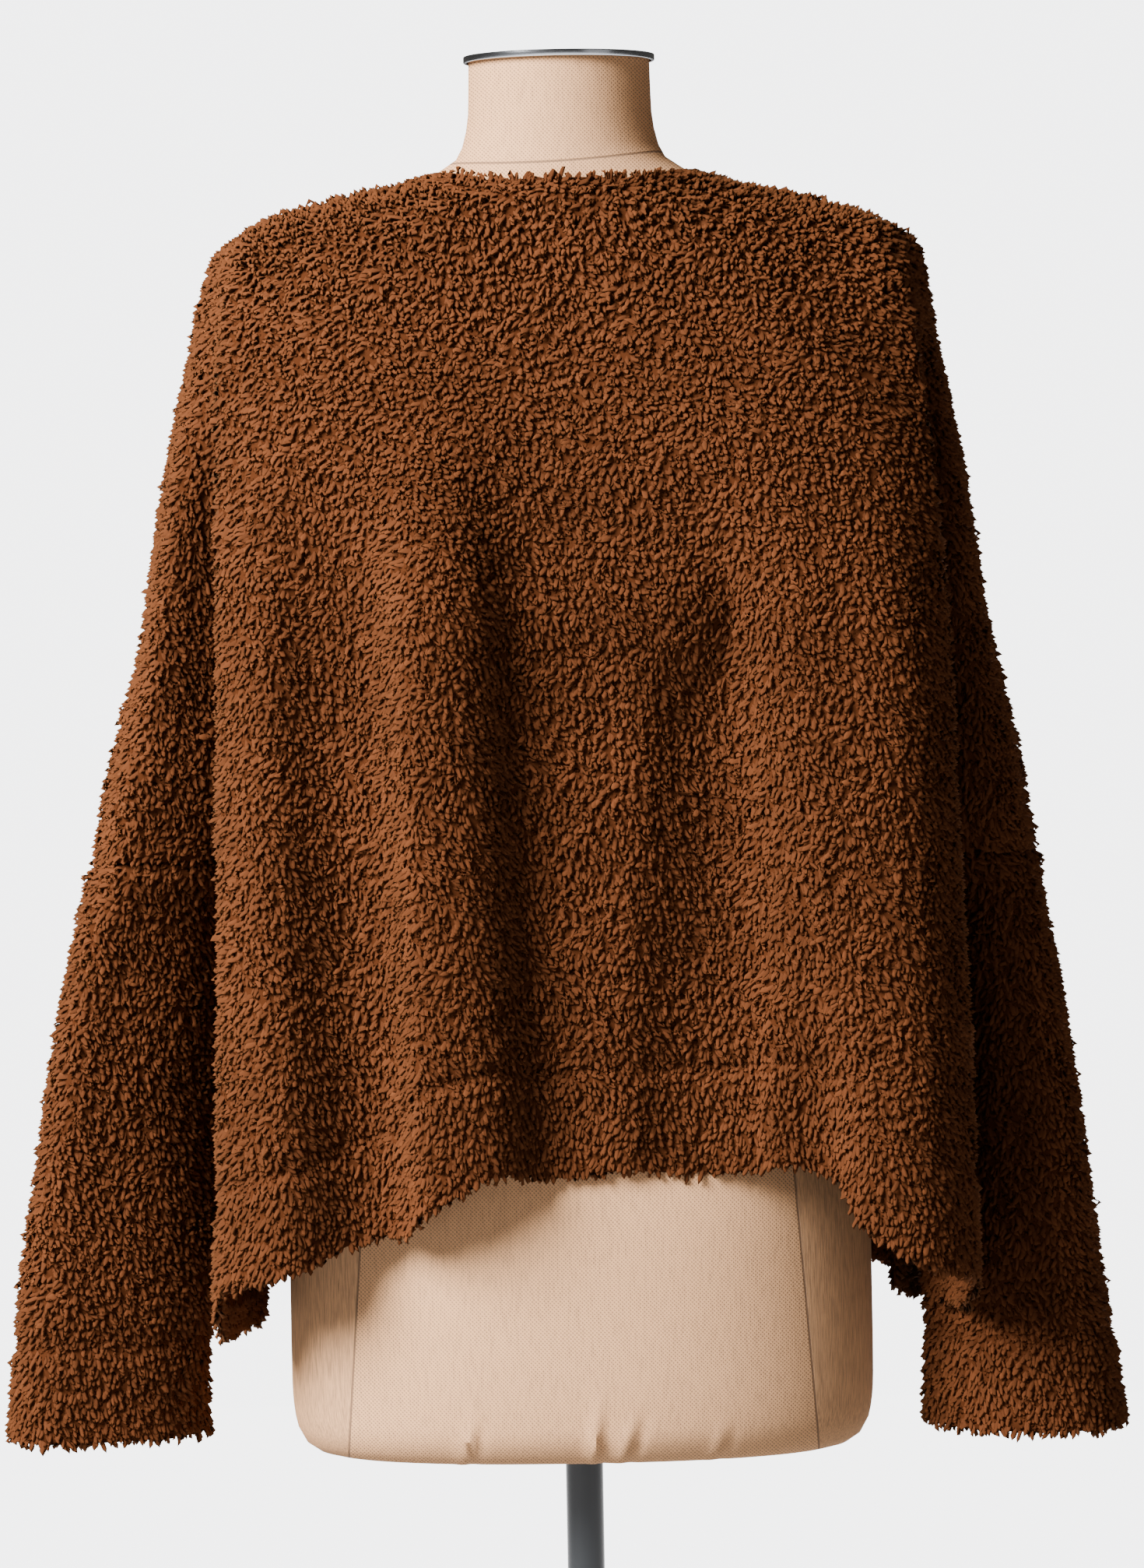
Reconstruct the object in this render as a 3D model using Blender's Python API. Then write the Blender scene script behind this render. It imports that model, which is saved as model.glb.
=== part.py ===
"""A wide fleece pullover worn by a limbless dress form on a pole and a round base.

Metres, +Z up. The front of the garment faces -Y and the origin is the middle of the
base's underside. The cloth is a wall whose outer face reaches as far as its pile does.
"""
import math
from collections import namedtuple

import bmesh
import bpy
from mathutils import Vector
from mathutils.bvhtree import BVHTree

# Driving sizes
WALL = 0.006
SEAM_GAP = 0.0003
SEAM_SHARE = 0.6
REST_GAP = 0.0010
SETTLE_ROUNDS = 12
SETTLE_SHARE = 0.6
WELD = 0.00005
NOTHING = Vector((0.0, 0.0, 0.0))
POLE_RADIUS = 0.0115
POLE_SOCKET = 0.030
BASE_RADIUS = 0.170
BASE_EDGE = 0.008
BASE_ROUNDING = 0.002
BASE_BOSS_RADIUS = 0.027
BASE_BOSS_HEIGHT = 0.034
BASE_SOCKET_FLOOR = 0.010
FORM_BOTTOM = 0.668
FORM_SIDES = 40
CAP_RADIUS = 0.0588
CAP_CENTRE_Y = -0.008
CAP_BOTTOM = 1.5228
CAP_EDGE = 0.0022
CAP_RISE = 0.0042
CAP_ROUNDING = 0.0006

# The lines that run down the cloth, counted from the middle of a panel to the arm line
MIDDLE, CHEST, FLANK, EDGE, SIDE, CREASE, INNER, OUTER, ARM = range(9)
# The level at which the body's side seam starts and the sleeve becomes a tube
UNDERARM = 7
# Where the inner and outer lines lie across the upper sleeve and the lower one
INNER_SHARE = 0.24
OUTER_SHARE = 0.74
TUBE_INNER_SHARE = 0.22
TUBE_OUTER_SHARE = 0.76

# How far out each line lies, level by level from the shoulder seam to the hem
Plan = namedtuple("Plan", "chest flank edge_l edge_r side_l side_r crease_l crease_r arm_l arm_r")
PLAN = [
    Plan(0.052, 0.089, 0.160, 0.160, 0.178, 0.179, 0.188, 0.190, 0.209, 0.213),
    Plan(0.072, 0.118, 0.182, 0.184, 0.195, 0.198, 0.203, 0.206, 0.218, 0.2225),
    Plan(0.092, 0.152, 0.2035, 0.207, 0.2095, 0.213, 0.2115, 0.215, 0.2285, 0.2285),
    Plan(0.100, 0.172, 0.2105, 0.219, 0.2085, 0.216, 0.2045, 0.211, 0.2475, 0.2445),
    Plan(0.100, 0.175, 0.2120, 0.2245, 0.208, 0.2175, 0.2015, 0.208, 0.2635, 0.2575),
    Plan(0.100, 0.177, 0.2135, 0.2265, 0.207, 0.217, 0.200, 0.204, 0.2805, 0.2720),
    Plan(0.100, 0.178, 0.2145, 0.2280, 0.2065, 0.216, 0.199, 0.2015, 0.2920, 0.2815),
    Plan(0.100, 0.178, 0.2150, 0.2290, 0.206, 0.2155, 0.199, 0.2005, 0.2985, 0.2865),
    Plan(0.100, 0.178, 0.2170, 0.2325, 0.2095, 0.216, 0.1995, 0.1985, 0.3060, 0.2920),
    Plan(0.100, 0.179, 0.2180, 0.2360, 0.214, 0.217, 0.2000, 0.1975, 0.3140, 0.2980),
    Plan(0.100, 0.180, 0.2195, 0.2360, 0.221, 0.2225, 0.2005, 0.1975, 0.3200, 0.3020),
]

# How far forward or back each line lies at the same levels
Depth = namedtuple("Depth", "middle chest flank edge side crease inner outer arm")
FRONT = [
    Depth(-0.0755, -0.061, -0.006, 0.004, 0.005, 0.006, 0.006, 0.006, 0.006),
    Depth(-0.0860, -0.079, -0.058, -0.037, -0.031, -0.027, -0.020, -0.010, 0.006),
    Depth(-0.1020, -0.102, -0.093, -0.072, -0.061, -0.053, -0.040, -0.020, 0.007),
    Depth(-0.1260, -0.131, -0.118, -0.092, -0.080, -0.068, -0.052, -0.034, 0.008),
    Depth(-0.1400, -0.149, -0.131, -0.101, -0.078, -0.058, -0.046, -0.032, 0.009),
    Depth(-0.1420, -0.150, -0.133, -0.104, -0.072, -0.044, -0.038, -0.027, 0.010),
    Depth(-0.1430, -0.150, -0.134, -0.105, -0.065, -0.022, -0.032, -0.024, 0.011),
    Depth(-0.1430, -0.149, -0.134, -0.105, -0.060, 0.012, -0.026, -0.020, 0.012),
    Depth(-0.1420, -0.147, -0.134, -0.106, -0.056, 0.012, -0.021, -0.020, 0.012),
    Depth(-0.1410, -0.146, -0.135, -0.108, -0.056, 0.012, -0.021, -0.020, 0.012),
    Depth(-0.1400, -0.146, -0.136, -0.108, -0.058, 0.012, -0.021, -0.020, 0.012),
]
BACK = [
    Depth(0.0590, 0.050, -0.006, 0.004, 0.005, 0.006, 0.006, 0.006, 0.006),
    Depth(0.0760, 0.069, 0.048, 0.038, 0.035, 0.033, 0.029, 0.020, 0.006),
    Depth(0.1010, 0.099, 0.089, 0.071, 0.064, 0.058, 0.050, 0.034, 0.007),
    Depth(0.1160, 0.114, 0.104, 0.086, 0.080, 0.074, 0.066, 0.050, 0.008),
    Depth(0.1200, 0.118, 0.108, 0.094, 0.086, 0.078, 0.064, 0.050, 0.009),
    Depth(0.1180, 0.117, 0.110, 0.098, 0.084, 0.066, 0.058, 0.047, 0.010),
    Depth(0.1180, 0.117, 0.112, 0.100, 0.078, 0.046, 0.054, 0.045, 0.011),
    Depth(0.1190, 0.118, 0.113, 0.102, 0.074, 0.012, 0.050, 0.044, 0.012),
    Depth(0.1270, 0.125, 0.118, 0.105, 0.068, 0.012, 0.045, 0.044, 0.012),
    Depth(0.1360, 0.133, 0.124, 0.108, 0.068, 0.012, 0.045, 0.044, 0.012),
    Depth(0.1400, 0.137, 0.126, 0.108, 0.070, 0.012, 0.045, 0.044, 0.012),
]

# Heights: the two top levels slope with the shoulder, the rest are level down to the
# underarm, and below it each line shares out its own way down to the hem
SEAM_HEIGHTS = Depth(1.4485, 1.4492, 1.4500, 1.4372, 1.4310, 1.4270, 1.4230, 1.4195, 1.4155)
NAPE_HEIGHTS = Depth(1.4515, 1.4510, 1.4500, 1.4372, 1.4310, 1.4270, 1.4230, 1.4195, 1.4155)
OVER_HEIGHTS = Depth(1.4250, 1.4250, 1.4260, 1.4170, 1.4130, 1.4100, 1.4070, 1.4035, 1.4000)
LEVEL_HEIGHTS = {2: 1.364, 3: 1.280, 4: 1.190, 5: 1.110, 6: 1.060, 7: 1.0345}
LEVEL_KNOTS = [0.0, 0.045, 0.098, 0.182, 0.272, 0.352, 0.402, 0.4275, 0.512, 0.596, 0.672]

# The hem's height across each panel: raised over the bust, low at the side seams
Hem = namedtuple("Hem", "across height")
FRONT_HEM = [
    Hem(-0.2195, 0.777), Hem(-0.190, 0.786), Hem(-0.160, 0.794), Hem(-0.135, 0.807),
    Hem(-0.115, 0.818), Hem(-0.095, 0.838), Hem(-0.072, 0.848), Hem(-0.045, 0.848),
    Hem(-0.018, 0.844), Hem(0.025, 0.847), Hem(0.075, 0.8445), Hem(0.128, 0.849),
    Hem(0.150, 0.843), Hem(0.170, 0.817), Hem(0.190, 0.805), Hem(0.213, 0.798), Hem(0.236, 0.788),
]
BACK_HEM = [
    Hem(-0.2195, 0.762), Hem(-0.175, 0.772), Hem(-0.100, 0.780), Hem(0.000, 0.787),
    Hem(0.100, 0.784), Hem(0.180, 0.777), Hem(0.236, 0.774),
]
SIDE_HEM_FRONT = {-1: 0.745, 1: 0.765}
SIDE_HEM_BACK = {-1: 0.750, 1: 0.768}
SEAM_HEM = {-1: 0.752, 1: 0.772}

# Standing folds: where each lies high up and at the hem, where it starts and is full,
# its half width, how far it stands out (or in, below zero) and how far its crest leans;
# they fade out over the named lines beside the sleeves
Fold = namedtuple("Fold", "high low starts full width out lean")
FOLD_HIGH = 1.30
FOLD_LOW = 0.80
FOLD_FADE = (2.4, 3.4)
FRONT_FOLDS = [
    Fold(-0.158, -0.136, 1.33, 1.16, 0.025, -0.014, 0.000),
    Fold(-0.088, -0.084, 1.32, 1.18, 0.023, 0.014, -0.007),
    Fold(-0.042, -0.014, 1.28, 1.10, 0.027, -0.010, 0.000),
    Fold(0.034, 0.040, 1.22, 1.05, 0.025, 0.005, 0.000),
    Fold(0.085, 0.070, 1.28, 1.10, 0.027, -0.010, 0.000),
    Fold(0.138, 0.182, 1.33, 1.00, 0.030, 0.010, -0.004),
    Fold(0.150, 0.142, 1.00, 0.88, 0.020, -0.011, 0.000),
]
BACK_FOLDS = [
    Fold(-0.150, -0.160, 1.32, 1.12, 0.026, 0.008, 0.004),
    Fold(-0.100, -0.105, 1.30, 1.10, 0.026, -0.011, 0.000),
    Fold(-0.045, -0.050, 1.34, 1.12, 0.026, 0.011, 0.004),
    Fold(0.010, 0.004, 1.24, 1.06, 0.026, -0.007, 0.000),
    Fold(0.060, 0.066, 1.30, 1.10, 0.028, 0.010, -0.004),
    Fold(0.120, 0.118, 1.32, 1.14, 0.026, -0.012, 0.000),
    Fold(0.166, 0.176, 1.32, 1.12, 0.024, 0.007, 0.000),
]

# Lower sleeves, from the elbow seam to the cuff's edge
Sleeve = namedtuple("Sleeve", "height inner_l outer_l inner_r outer_r front back dent")
SLEEVES = [
    Sleeve(1.0345, 0.1990, 0.2985, 0.2005, 0.2865, -0.020, 0.044, 0.000),
    Sleeve(1.0000, 0.2090, 0.3085, 0.2110, 0.2920, -0.020, 0.045, 0.001),
    Sleeve(0.9500, 0.2220, 0.3195, 0.2190, 0.3010, -0.019, 0.045, 0.004),
    Sleeve(0.8800, 0.2300, 0.3320, 0.2180, 0.3115, -0.018, 0.044, 0.006),
    Sleeve(0.8000, 0.2320, 0.3450, 0.2155, 0.3205, -0.018, 0.044, 0.005),
    Sleeve(0.7300, 0.2315, 0.3540, 0.2135, 0.3310, -0.017, 0.043, 0.002),
    Sleeve(0.6810, 0.2305, 0.3590, 0.2130, 0.3390, -0.017, 0.042, 0.000),
]

# The dress form, from the top of its neck down to its bottom edge
Section = namedtuple("Section", "height half_width front back squareness")
FORM = [
    Section(1.5225, 0.0556, -0.0625, 0.0465, 2.00),
    Section(1.4900, 0.0565, -0.0620, 0.0460, 2.00),
    Section(1.4700, 0.0605, -0.0622, 0.0465, 2.00),
    Section(1.4625, 0.0645, -0.0630, 0.0475, 2.00),
    Section(1.4565, 0.0735, -0.0640, 0.0490, 2.00),
    Section(1.4505, 0.0830, -0.0655, 0.0510, 2.00),
    Section(1.4445, 0.0945, -0.0670, 0.0530, 1.95),
    Section(1.4380, 0.1150, -0.0690, 0.0555, 1.90),
    Section(1.4320, 0.1365, -0.0705, 0.0580, 1.90),
    Section(1.4225, 0.1640, -0.0740, 0.0640, 1.95),
    Section(1.4125, 0.1840, -0.0775, 0.0690, 2.05),
    Section(1.4000, 0.1950, -0.0820, 0.0760, 2.15),
    Section(1.3760, 0.1985, -0.0890, 0.0850, 2.25),
    Section(1.3400, 0.1960, -0.1000, 0.0940, 2.30),
    Section(1.3000, 0.1880, -0.1120, 0.1000, 2.30),
    Section(1.2500, 0.1740, -0.1230, 0.1010, 2.30),
    Section(1.1900, 0.1630, -0.1280, 0.0960, 2.30),
    Section(1.1300, 0.1500, -0.1150, 0.0850, 2.25),
    Section(1.0700, 0.1370, -0.1000, 0.0770, 2.20),
    Section(1.0300, 0.1330, -0.0950, 0.0760, 2.20),
    Section(0.9800, 0.1400, -0.0980, 0.0860, 2.20),
    Section(0.9200, 0.1590, -0.1080, 0.1060, 2.25),
    Section(0.8600, 0.1750, -0.1160, 0.1200, 2.30),
    Section(0.8000, 0.1800, -0.1185, 0.1230, 2.30),
    Section(0.7400, 0.1800, -0.1175, 0.1170, 2.30),
    Section(0.7100, 0.1780, -0.1150, 0.1120, 2.30),
    Section(0.6900, 0.1735, -0.1110, 0.1070, 2.30),
    Section(0.6760, 0.1665, -0.1040, 0.1000, 2.30),
    Section(0.6695, 0.1590, -0.0970, 0.0935, 2.30),
    Section(FORM_BOTTOM, 0.1520, -0.0900, 0.0870, 2.30),
]
BUST_HEIGHT = 1.19
BUST_OUT = 0.085
BUST_DEPTH = 0.011
BUST_SPREAD = 0.048
BUST_TALL = 0.055
# How far back the form's widest line lies, as a share of its depth
FORM_BALANCE = 0.55

# How the panels are divided, in counts for each stretch between two lines or levels
COLUMN_COUNTS = [5, 4, 2, 2, 3, 2, 3, 2]
ROW_COUNTS = [2, 2, 2, 2, 2, 1, 2, 2, 2, 2]
SLEEVE_COUNTS = [1, 2, 2, 2, 2, 1]

PIECES = ["front", "back", "sleeve_left", "sleeve_right"]
SHARP_ANGLE = math.radians(40.0)


def clear_scene():
    for item in list(bpy.data.objects):
        bpy.data.objects.remove(item, do_unlink=True)


def material(name, colour, roughness, metallic=0.0):
    finish = bpy.data.materials.new(name)
    finish.use_nodes = True
    shader = finish.node_tree.nodes["Principled BSDF"]
    shader.inputs["Base Color"].default_value = (*colour, 1.0)
    shader.inputs["Roughness"].default_value = roughness
    shader.inputs["Metallic"].default_value = metallic
    return finish


def steps(counts):
    """Places 0, 1/n ... along stretches that are each divided into a count of parts."""
    places = [0.0]
    for stretch, count in enumerate(counts):
        places += [stretch + (part + 1) / count for part in range(count)]
    return places


def arc(start, end, leaving, arriving, share):
    """A smooth curve from start to end with the given directions at its ends."""
    return (
        start * (2.0 * share ** 3 - 3.0 * share ** 2 + 1.0)
        + leaving * (share ** 3 - 2.0 * share ** 2 + share)
        + end * (3.0 * share ** 2 - 2.0 * share ** 3)
        + arriving * (share ** 3 - share ** 2)
    )


def along(points, place, closed=False, knots=None):
    """The point at a place, counted in control points, on the smooth curve through them.
    Knots say how far apart the control points lie; without them they are even."""
    count = len(points)
    first = math.floor(place)
    if not closed:
        first = min(max(first, 0), count - 2)
    knots = knots or range(count)
    start = points[first % count]
    end = points[(first + 1) % count]
    span = 1.0 if closed else knots[first + 1] - knots[first]
    leaving = end - start
    arriving = end - start
    if closed:
        leaving = 0.5 * (end - points[(first - 1) % count])
        arriving = 0.5 * (points[(first + 2) % count] - start)
    else:
        if first > 0:
            leaving = (end - points[first - 1]) * span / (knots[first + 1] - knots[first - 1])
        if first + 2 < count:
            arriving = (points[first + 2] - start) * span / (knots[first + 2] - knots[first])
    return arc(start, end, leaving, arriving, place - first)


def slope(left, right):
    """A tangent between two slopes that never overshoots."""
    if left * right <= 0.0:
        return 0.0
    return 2.0 * left * right / (left + right)


def read(table, key, value, place):
    """A table's value at a place, eased from row to row without overshoot."""
    rows = sorted(table, key=lambda row: getattr(row, key))
    places = [getattr(row, key) for row in rows]
    values = [getattr(row, value) for row in rows]
    place = min(max(place, places[0]), places[-1])
    index = max(i for i in range(len(places) - 1) if places[i] <= place)
    rises = [(values[i + 1] - values[i]) / (places[i + 1] - places[i]) for i in range(len(places) - 1)]
    start = slope(rises[index - 1], rises[index]) if index > 0 else rises[index]
    end = slope(rises[index], rises[index + 1]) if index + 1 < len(rises) else rises[index]
    span = places[index + 1] - places[index]
    return arc(values[index], values[index + 1], start * span, end * span,
               (place - places[index]) / span)


def eased(low, high, value):
    share = min(max((value - low) / (high - low), 0.0), 1.0)
    return share * share * (3.0 - 2.0 * share)


def hem_height(back, line, across):
    """The hem's height at a place across a panel; line counts the named lines."""
    side = -1 if line < 0 else 1
    reach = abs(line)
    table = BACK_HEM if back else FRONT_HEM
    if reach <= EDGE:
        return read(table, "across", "height", across)
    corner = table[0] if side < 0 else table[-1]
    low = (SIDE_HEM_BACK if back else SIDE_HEM_FRONT)[side]
    rows = [Hem(EDGE, corner.height), Hem(SIDE, low), Hem(CREASE, SEAM_HEM[side])]
    return read(rows, "across", "height", min(reach, CREASE))


def share_down(place):
    """How much of the way from the underarm to the hem lies above a place in levels."""
    whole = min(int(place), len(LEVEL_KNOTS) - 2)
    knot = LEVEL_KNOTS[whole] + (LEVEL_KNOTS[whole + 1] - LEVEL_KNOTS[whole]) * (place - whole)
    return (knot - LEVEL_KNOTS[UNDERARM]) / (LEVEL_KNOTS[-1] - LEVEL_KNOTS[UNDERARM])


def drop(back, line, across, place):
    """The height of a point below the underarm."""
    top = LEVEL_HEIGHTS[UNDERARM]
    return top + (hem_height(back, line, across) - top) * share_down(place)


def level_height(back, level, index, side, across):
    """The height of a control point."""
    if level == 0:
        return (NAPE_HEIGHTS if back else SEAM_HEIGHTS)[index]
    if level == 1:
        return OVER_HEIGHTS[index]
    if level <= UNDERARM:
        return LEVEL_HEIGHTS[level]
    return drop(back, side * index, side * across, level)


def level_points(back, level):
    """One level's control points from the left arm line to the right one."""
    plan = PLAN[level]
    depth = (BACK if back else FRONT)[level]
    points = []
    for side in (-1, 1):
        edge, fold, crease, arm = (
            (plan.edge_l, plan.side_l, plan.crease_l, plan.arm_l) if side < 0
            else (plan.edge_r, plan.side_r, plan.crease_r, plan.arm_r)
        )
        sleeve = arm - crease
        across = [0.0, plan.chest, plan.flank, edge, fold, crease,
                  crease + INNER_SHARE * sleeve, crease + OUTER_SHARE * sleeve, arm]
        half = [
            Vector((side * x, depth[index], level_height(back, level, index, side, x)))
            for index, x in enumerate(across)
        ]
        points += half[:0:-1] if side < 0 else half
    return points


NETS = {back: [level_points(back, level) for level in range(len(PLAN))] for back in (False, True)}


def fold_shift(folds, across, height):
    """How far the standing folds push a point out of the panel, and sideways."""
    out = 0.0
    aside = 0.0
    for fold in folds:
        share = (height - FOLD_LOW) / (FOLD_HIGH - FOLD_LOW)
        middle = fold.low + (fold.high - fold.low) * share
        strength = 1.0 - eased(fold.full, fold.starts, height)
        bump = strength * math.exp(-((across - middle) / fold.width) ** 2)
        out += fold.out * bump
        aside += fold.lean * bump
    return out, aside


def panel_point(back, line, level):
    """The cloth's outer face at a place across (line) and down (level) a panel."""
    column = [along(points, line + ARM) for points in NETS[back]]
    point = along(column, level, knots=LEVEL_KNOTS)
    if level > UNDERARM:
        point.z = drop(back, line, point.x, level)
    fade = 1.0 - eased(*FOLD_FADE, abs(line))
    out, aside = fold_shift(BACK_FOLDS if back else FRONT_FOLDS, point.x, point.z)
    point.y += (1.0 if back else -1.0) * out * fade
    point.x += aside * fade
    return point


def cloth_point(back, line, level):
    """A panel's point, with the seam lines shared by front and back."""
    on_shoulder = level == 0.0 and abs(line) >= FLANK
    on_side_seam = abs(line) == CREASE and level >= UNDERARM
    if on_shoulder or on_side_seam:
        return 0.5 * (panel_point(False, line, level) + panel_point(True, line, level))
    return panel_point(back, line, level)


def sleeve_point(side, turn, level):
    """A lower sleeve's point; turn runs from the inner line over the front and back again."""
    back = turn > ARM - CREASE
    line = CREASE + (turn if not back else 2 * (ARM - CREASE) - turn)
    if level == 0.0:
        return cloth_point(back, side * line, float(UNDERARM))
    rings = []
    for row in SLEEVES:
        inner, outer = (row.inner_l, row.outer_l) if side < 0 else (row.inner_r, row.outer_r)
        width = outer - inner
        centre = 0.5 * (row.front + row.back)
        shape = [
            (inner, centre),
            (inner + TUBE_INNER_SHARE * width, row.front),
            (inner + TUBE_OUTER_SHARE * width, row.front + row.dent),
            (outer, centre),
            (inner + TUBE_OUTER_SHARE * width, row.back - row.dent),
            (inner + TUBE_INNER_SHARE * width, row.back),
        ]
        rings.append([Vector((side * x, y, row.height)) for x, y in shape])
    column = [along(ring, turn, closed=True) for ring in rings]
    return along(column, level)


def add_panel(surface, tag, piece, back):
    """A T-shaped panel: a grid whose lower corners, beside the body, are left out."""
    half = steps(COLUMN_COUNTS)
    lines = [-place for place in half[:0:-1]] + half
    levels = steps(ROW_COUNTS)
    columns = len(lines) - 1
    rows = len(levels) - 1
    made = bmesh.ops.create_grid(surface, x_segments=columns, y_segments=rows, size=1.0)["verts"]
    places = {}
    for vert in made:
        column = round((vert.co.x + 1.0) / 2.0 * columns)
        row = round((1.0 - vert.co.y) / 2.0 * rows)
        places[vert] = (lines[column], levels[row])
    faces = {face for vert in made for face in vert.link_faces}
    spare = []
    for face in faces:
        line = sum(abs(places[vert][0]) for vert in face.verts) / 4.0
        level = sum(places[vert][1] for vert in face.verts) / 4.0
        face[tag] = piece
        if line > CREASE and level > UNDERARM:
            spare.append(face)
    for vert in made:
        vert.co = cloth_point(back, *places[vert])
    bmesh.ops.delete(surface, geom=spare, context="FACES")


def add_sleeve(surface, tag, piece, side):
    """A tube from the elbow seam to the cuff, made from a grid that is closed on itself."""
    front = [place - CREASE for place in steps(COLUMN_COUNTS) if place >= CREASE]
    turns = front + [2 * (ARM - CREASE) - turn for turn in front[-2::-1]]
    levels = steps(SLEEVE_COUNTS)
    columns = len(turns) - 1
    rows = len(levels) - 1
    made = bmesh.ops.create_grid(surface, x_segments=columns, y_segments=rows, size=1.0)["verts"]
    for face in {face for vert in made for face in vert.link_faces}:
        face[tag] = piece
    for vert in made:
        turn = turns[round((vert.co.x + 1.0) / 2.0 * columns)]
        level = levels[round((1.0 - vert.co.y) / 2.0 * rows)]
        vert.co = sleeve_point(side, turn, level)


def settle(surface, form_tree):
    """Lifts the cloth wherever its inner face comes closer to the form than it rests."""
    surface.normal_update()
    lifts = {}
    for face in surface.faces:
        middle = face.calc_center_median()
        for vert in face.verts:
            for spot, normal in (
                (vert.co, vert.normal),
                (0.5 * (vert.co + middle), face.normal),
                (middle, face.normal),
            ):
                inner = spot - normal * WALL
                rest, facing, _face, _distance = form_tree.find_nearest(inner)
                short = REST_GAP - (inner - rest).dot(facing)
                if short > lifts.get(vert, NOTHING).length:
                    lifts[vert] = facing * short
    for vert, lift in lifts.items():
        vert.co += lift * SETTLE_SHARE


def garment_surface(form_tree):
    """The whole garment's outer face, its seams welded, settled on the dress form."""
    surface = bmesh.new()
    tag = surface.faces.layers.int.new("piece")
    add_panel(surface, tag, 0, back=False)
    add_panel(surface, tag, 1, back=True)
    add_sleeve(surface, tag, 2, side=-1)
    add_sleeve(surface, tag, 3, side=1)
    bmesh.ops.remove_doubles(surface, verts=surface.verts, dist=WELD)
    bmesh.ops.recalc_face_normals(surface, faces=surface.faces)
    chest = min(surface.faces, key=lambda face: face.calc_center_median().y)
    if chest.normal.y > 0.0:
        bmesh.ops.reverse_faces(surface, faces=surface.faces)
    for _ in range(SETTLE_ROUNDS):
        settle(surface, form_tree)
    surface.normal_update()
    surface.verts.index_update()
    return surface, tag


def outward(vert, tag):
    """A point's outward direction: straight down where the body and a sleeve part."""
    at_underarm = (
        len({face[tag] for face in vert.link_faces}) == 3
        and abs(vert.co.x) < 0.5 * (PLAN[UNDERARM].crease_l + PLAN[UNDERARM].arm_l)
    )
    return Vector((0.0, 0.0, -1.0)) if at_underarm else vert.normal


def seam_shift(vert, facing, tag, piece):
    """The small step that a seam's points take into their own panel."""
    if all(face[tag] == piece for face in vert.link_faces):
        return NOTHING
    inward = Vector((0.0, 0.0, 0.0))
    for face in vert.link_faces:
        if face[tag] == piece:
            inward += face.calc_center_median() - vert.co
    inward -= inward.dot(facing) * facing
    return inward.normalized() * SEAM_GAP * SEAM_SHARE


def wall_mesh(surface, tag, piece):
    """A panel's wall. Its rims follow the whole garment's normals, so two neighbours'
    rims lie face to face, and their corners are joined by the same diagonal."""
    wall = bmesh.new()
    outside = {}
    inside = {}
    faces = [face for face in surface.faces if face[tag] == piece]
    verts = sorted({vert for face in faces for vert in face.verts}, key=lambda vert: vert.index)
    for vert in verts:
        facing = outward(vert, tag)
        place = vert.co + seam_shift(vert, facing, tag, piece)
        outside[vert] = wall.verts.new(place)
        inside[vert] = wall.verts.new(place - facing * WALL)
    for face in faces:
        wall.faces.new([outside[vert] for vert in face.verts])
        wall.faces.new([inside[vert] for vert in reversed(face.verts)])
    for face in faces:
        for loop in face.loops:
            if sum(other[tag] == piece for other in loop.edge.link_faces) > 1:
                continue
            start = loop.vert
            end = loop.link_loop_next.vert
            if start.index < end.index:
                wall.faces.new([outside[end], outside[start], inside[end]])
                wall.faces.new([outside[start], inside[start], inside[end]])
            else:
                wall.faces.new([outside[end], outside[start], inside[start]])
                wall.faces.new([outside[end], inside[start], inside[end]])
    mesh = bpy.data.meshes.new(PIECES[piece])
    wall.to_mesh(mesh)
    wall.free()
    return mesh


def form_ring(height):
    """The dress form's outline at a height, a front and a back half of their own depth."""
    half_width = read(FORM, "height", "half_width", height)
    front = read(FORM, "height", "front", height)
    back = read(FORM, "height", "back", height)
    power = 2.0 / read(FORM, "height", "squareness", height)
    middle = front + FORM_BALANCE * (back - front)
    ring = []
    for index in range(FORM_SIDES):
        angle = 2.0 * math.pi * index / FORM_SIDES
        cosine = math.cos(angle)
        sine = math.sin(angle)
        x = math.copysign(half_width * abs(cosine) ** power, cosine)
        depth = (back if sine > 0.0 else front) - middle
        y = middle + depth * abs(sine) ** power
        if sine < 0.0:
            sideways = (abs(x) - BUST_OUT) / BUST_SPREAD
            upwards = (height - BUST_HEIGHT) / BUST_TALL
            y -= BUST_DEPTH * math.exp(-sideways ** 2 - upwards ** 2)
        ring.append(Vector((x, y, height)))
    return ring


def circle(radius, height, middle_y=0.0):
    return [
        Vector((
            radius * math.cos(2.0 * math.pi * index / FORM_SIDES),
            middle_y + radius * math.sin(2.0 * math.pi * index / FORM_SIDES),
            height,
        ))
        for index in range(FORM_SIDES)
    ]


def loft(rings):
    """A closed body through rings of the same count, capped at both ends."""
    body = bmesh.new()
    loops = [[body.verts.new(point) for point in ring] for ring in rings]
    for upper, lower in zip(loops, loops[1:]):
        for index in range(len(upper)):
            start = index - 1
            body.faces.new([upper[start], upper[index], lower[index], lower[start]])
    for loop in (loops[0], loops[-1]):
        body.faces.new(loop)
    bmesh.ops.recalc_face_normals(body, faces=body.faces)
    return body


def build_form():
    """The covered torso and neck, with a blind socket for the pole underneath."""
    rings = [form_ring(row.height) for row in FORM]
    rings.append(circle(POLE_RADIUS + SEAM_GAP, FORM_BOTTOM))
    rings.append(circle(POLE_RADIUS + SEAM_GAP, FORM_BOTTOM + POLE_SOCKET))
    return loft(rings)


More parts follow.
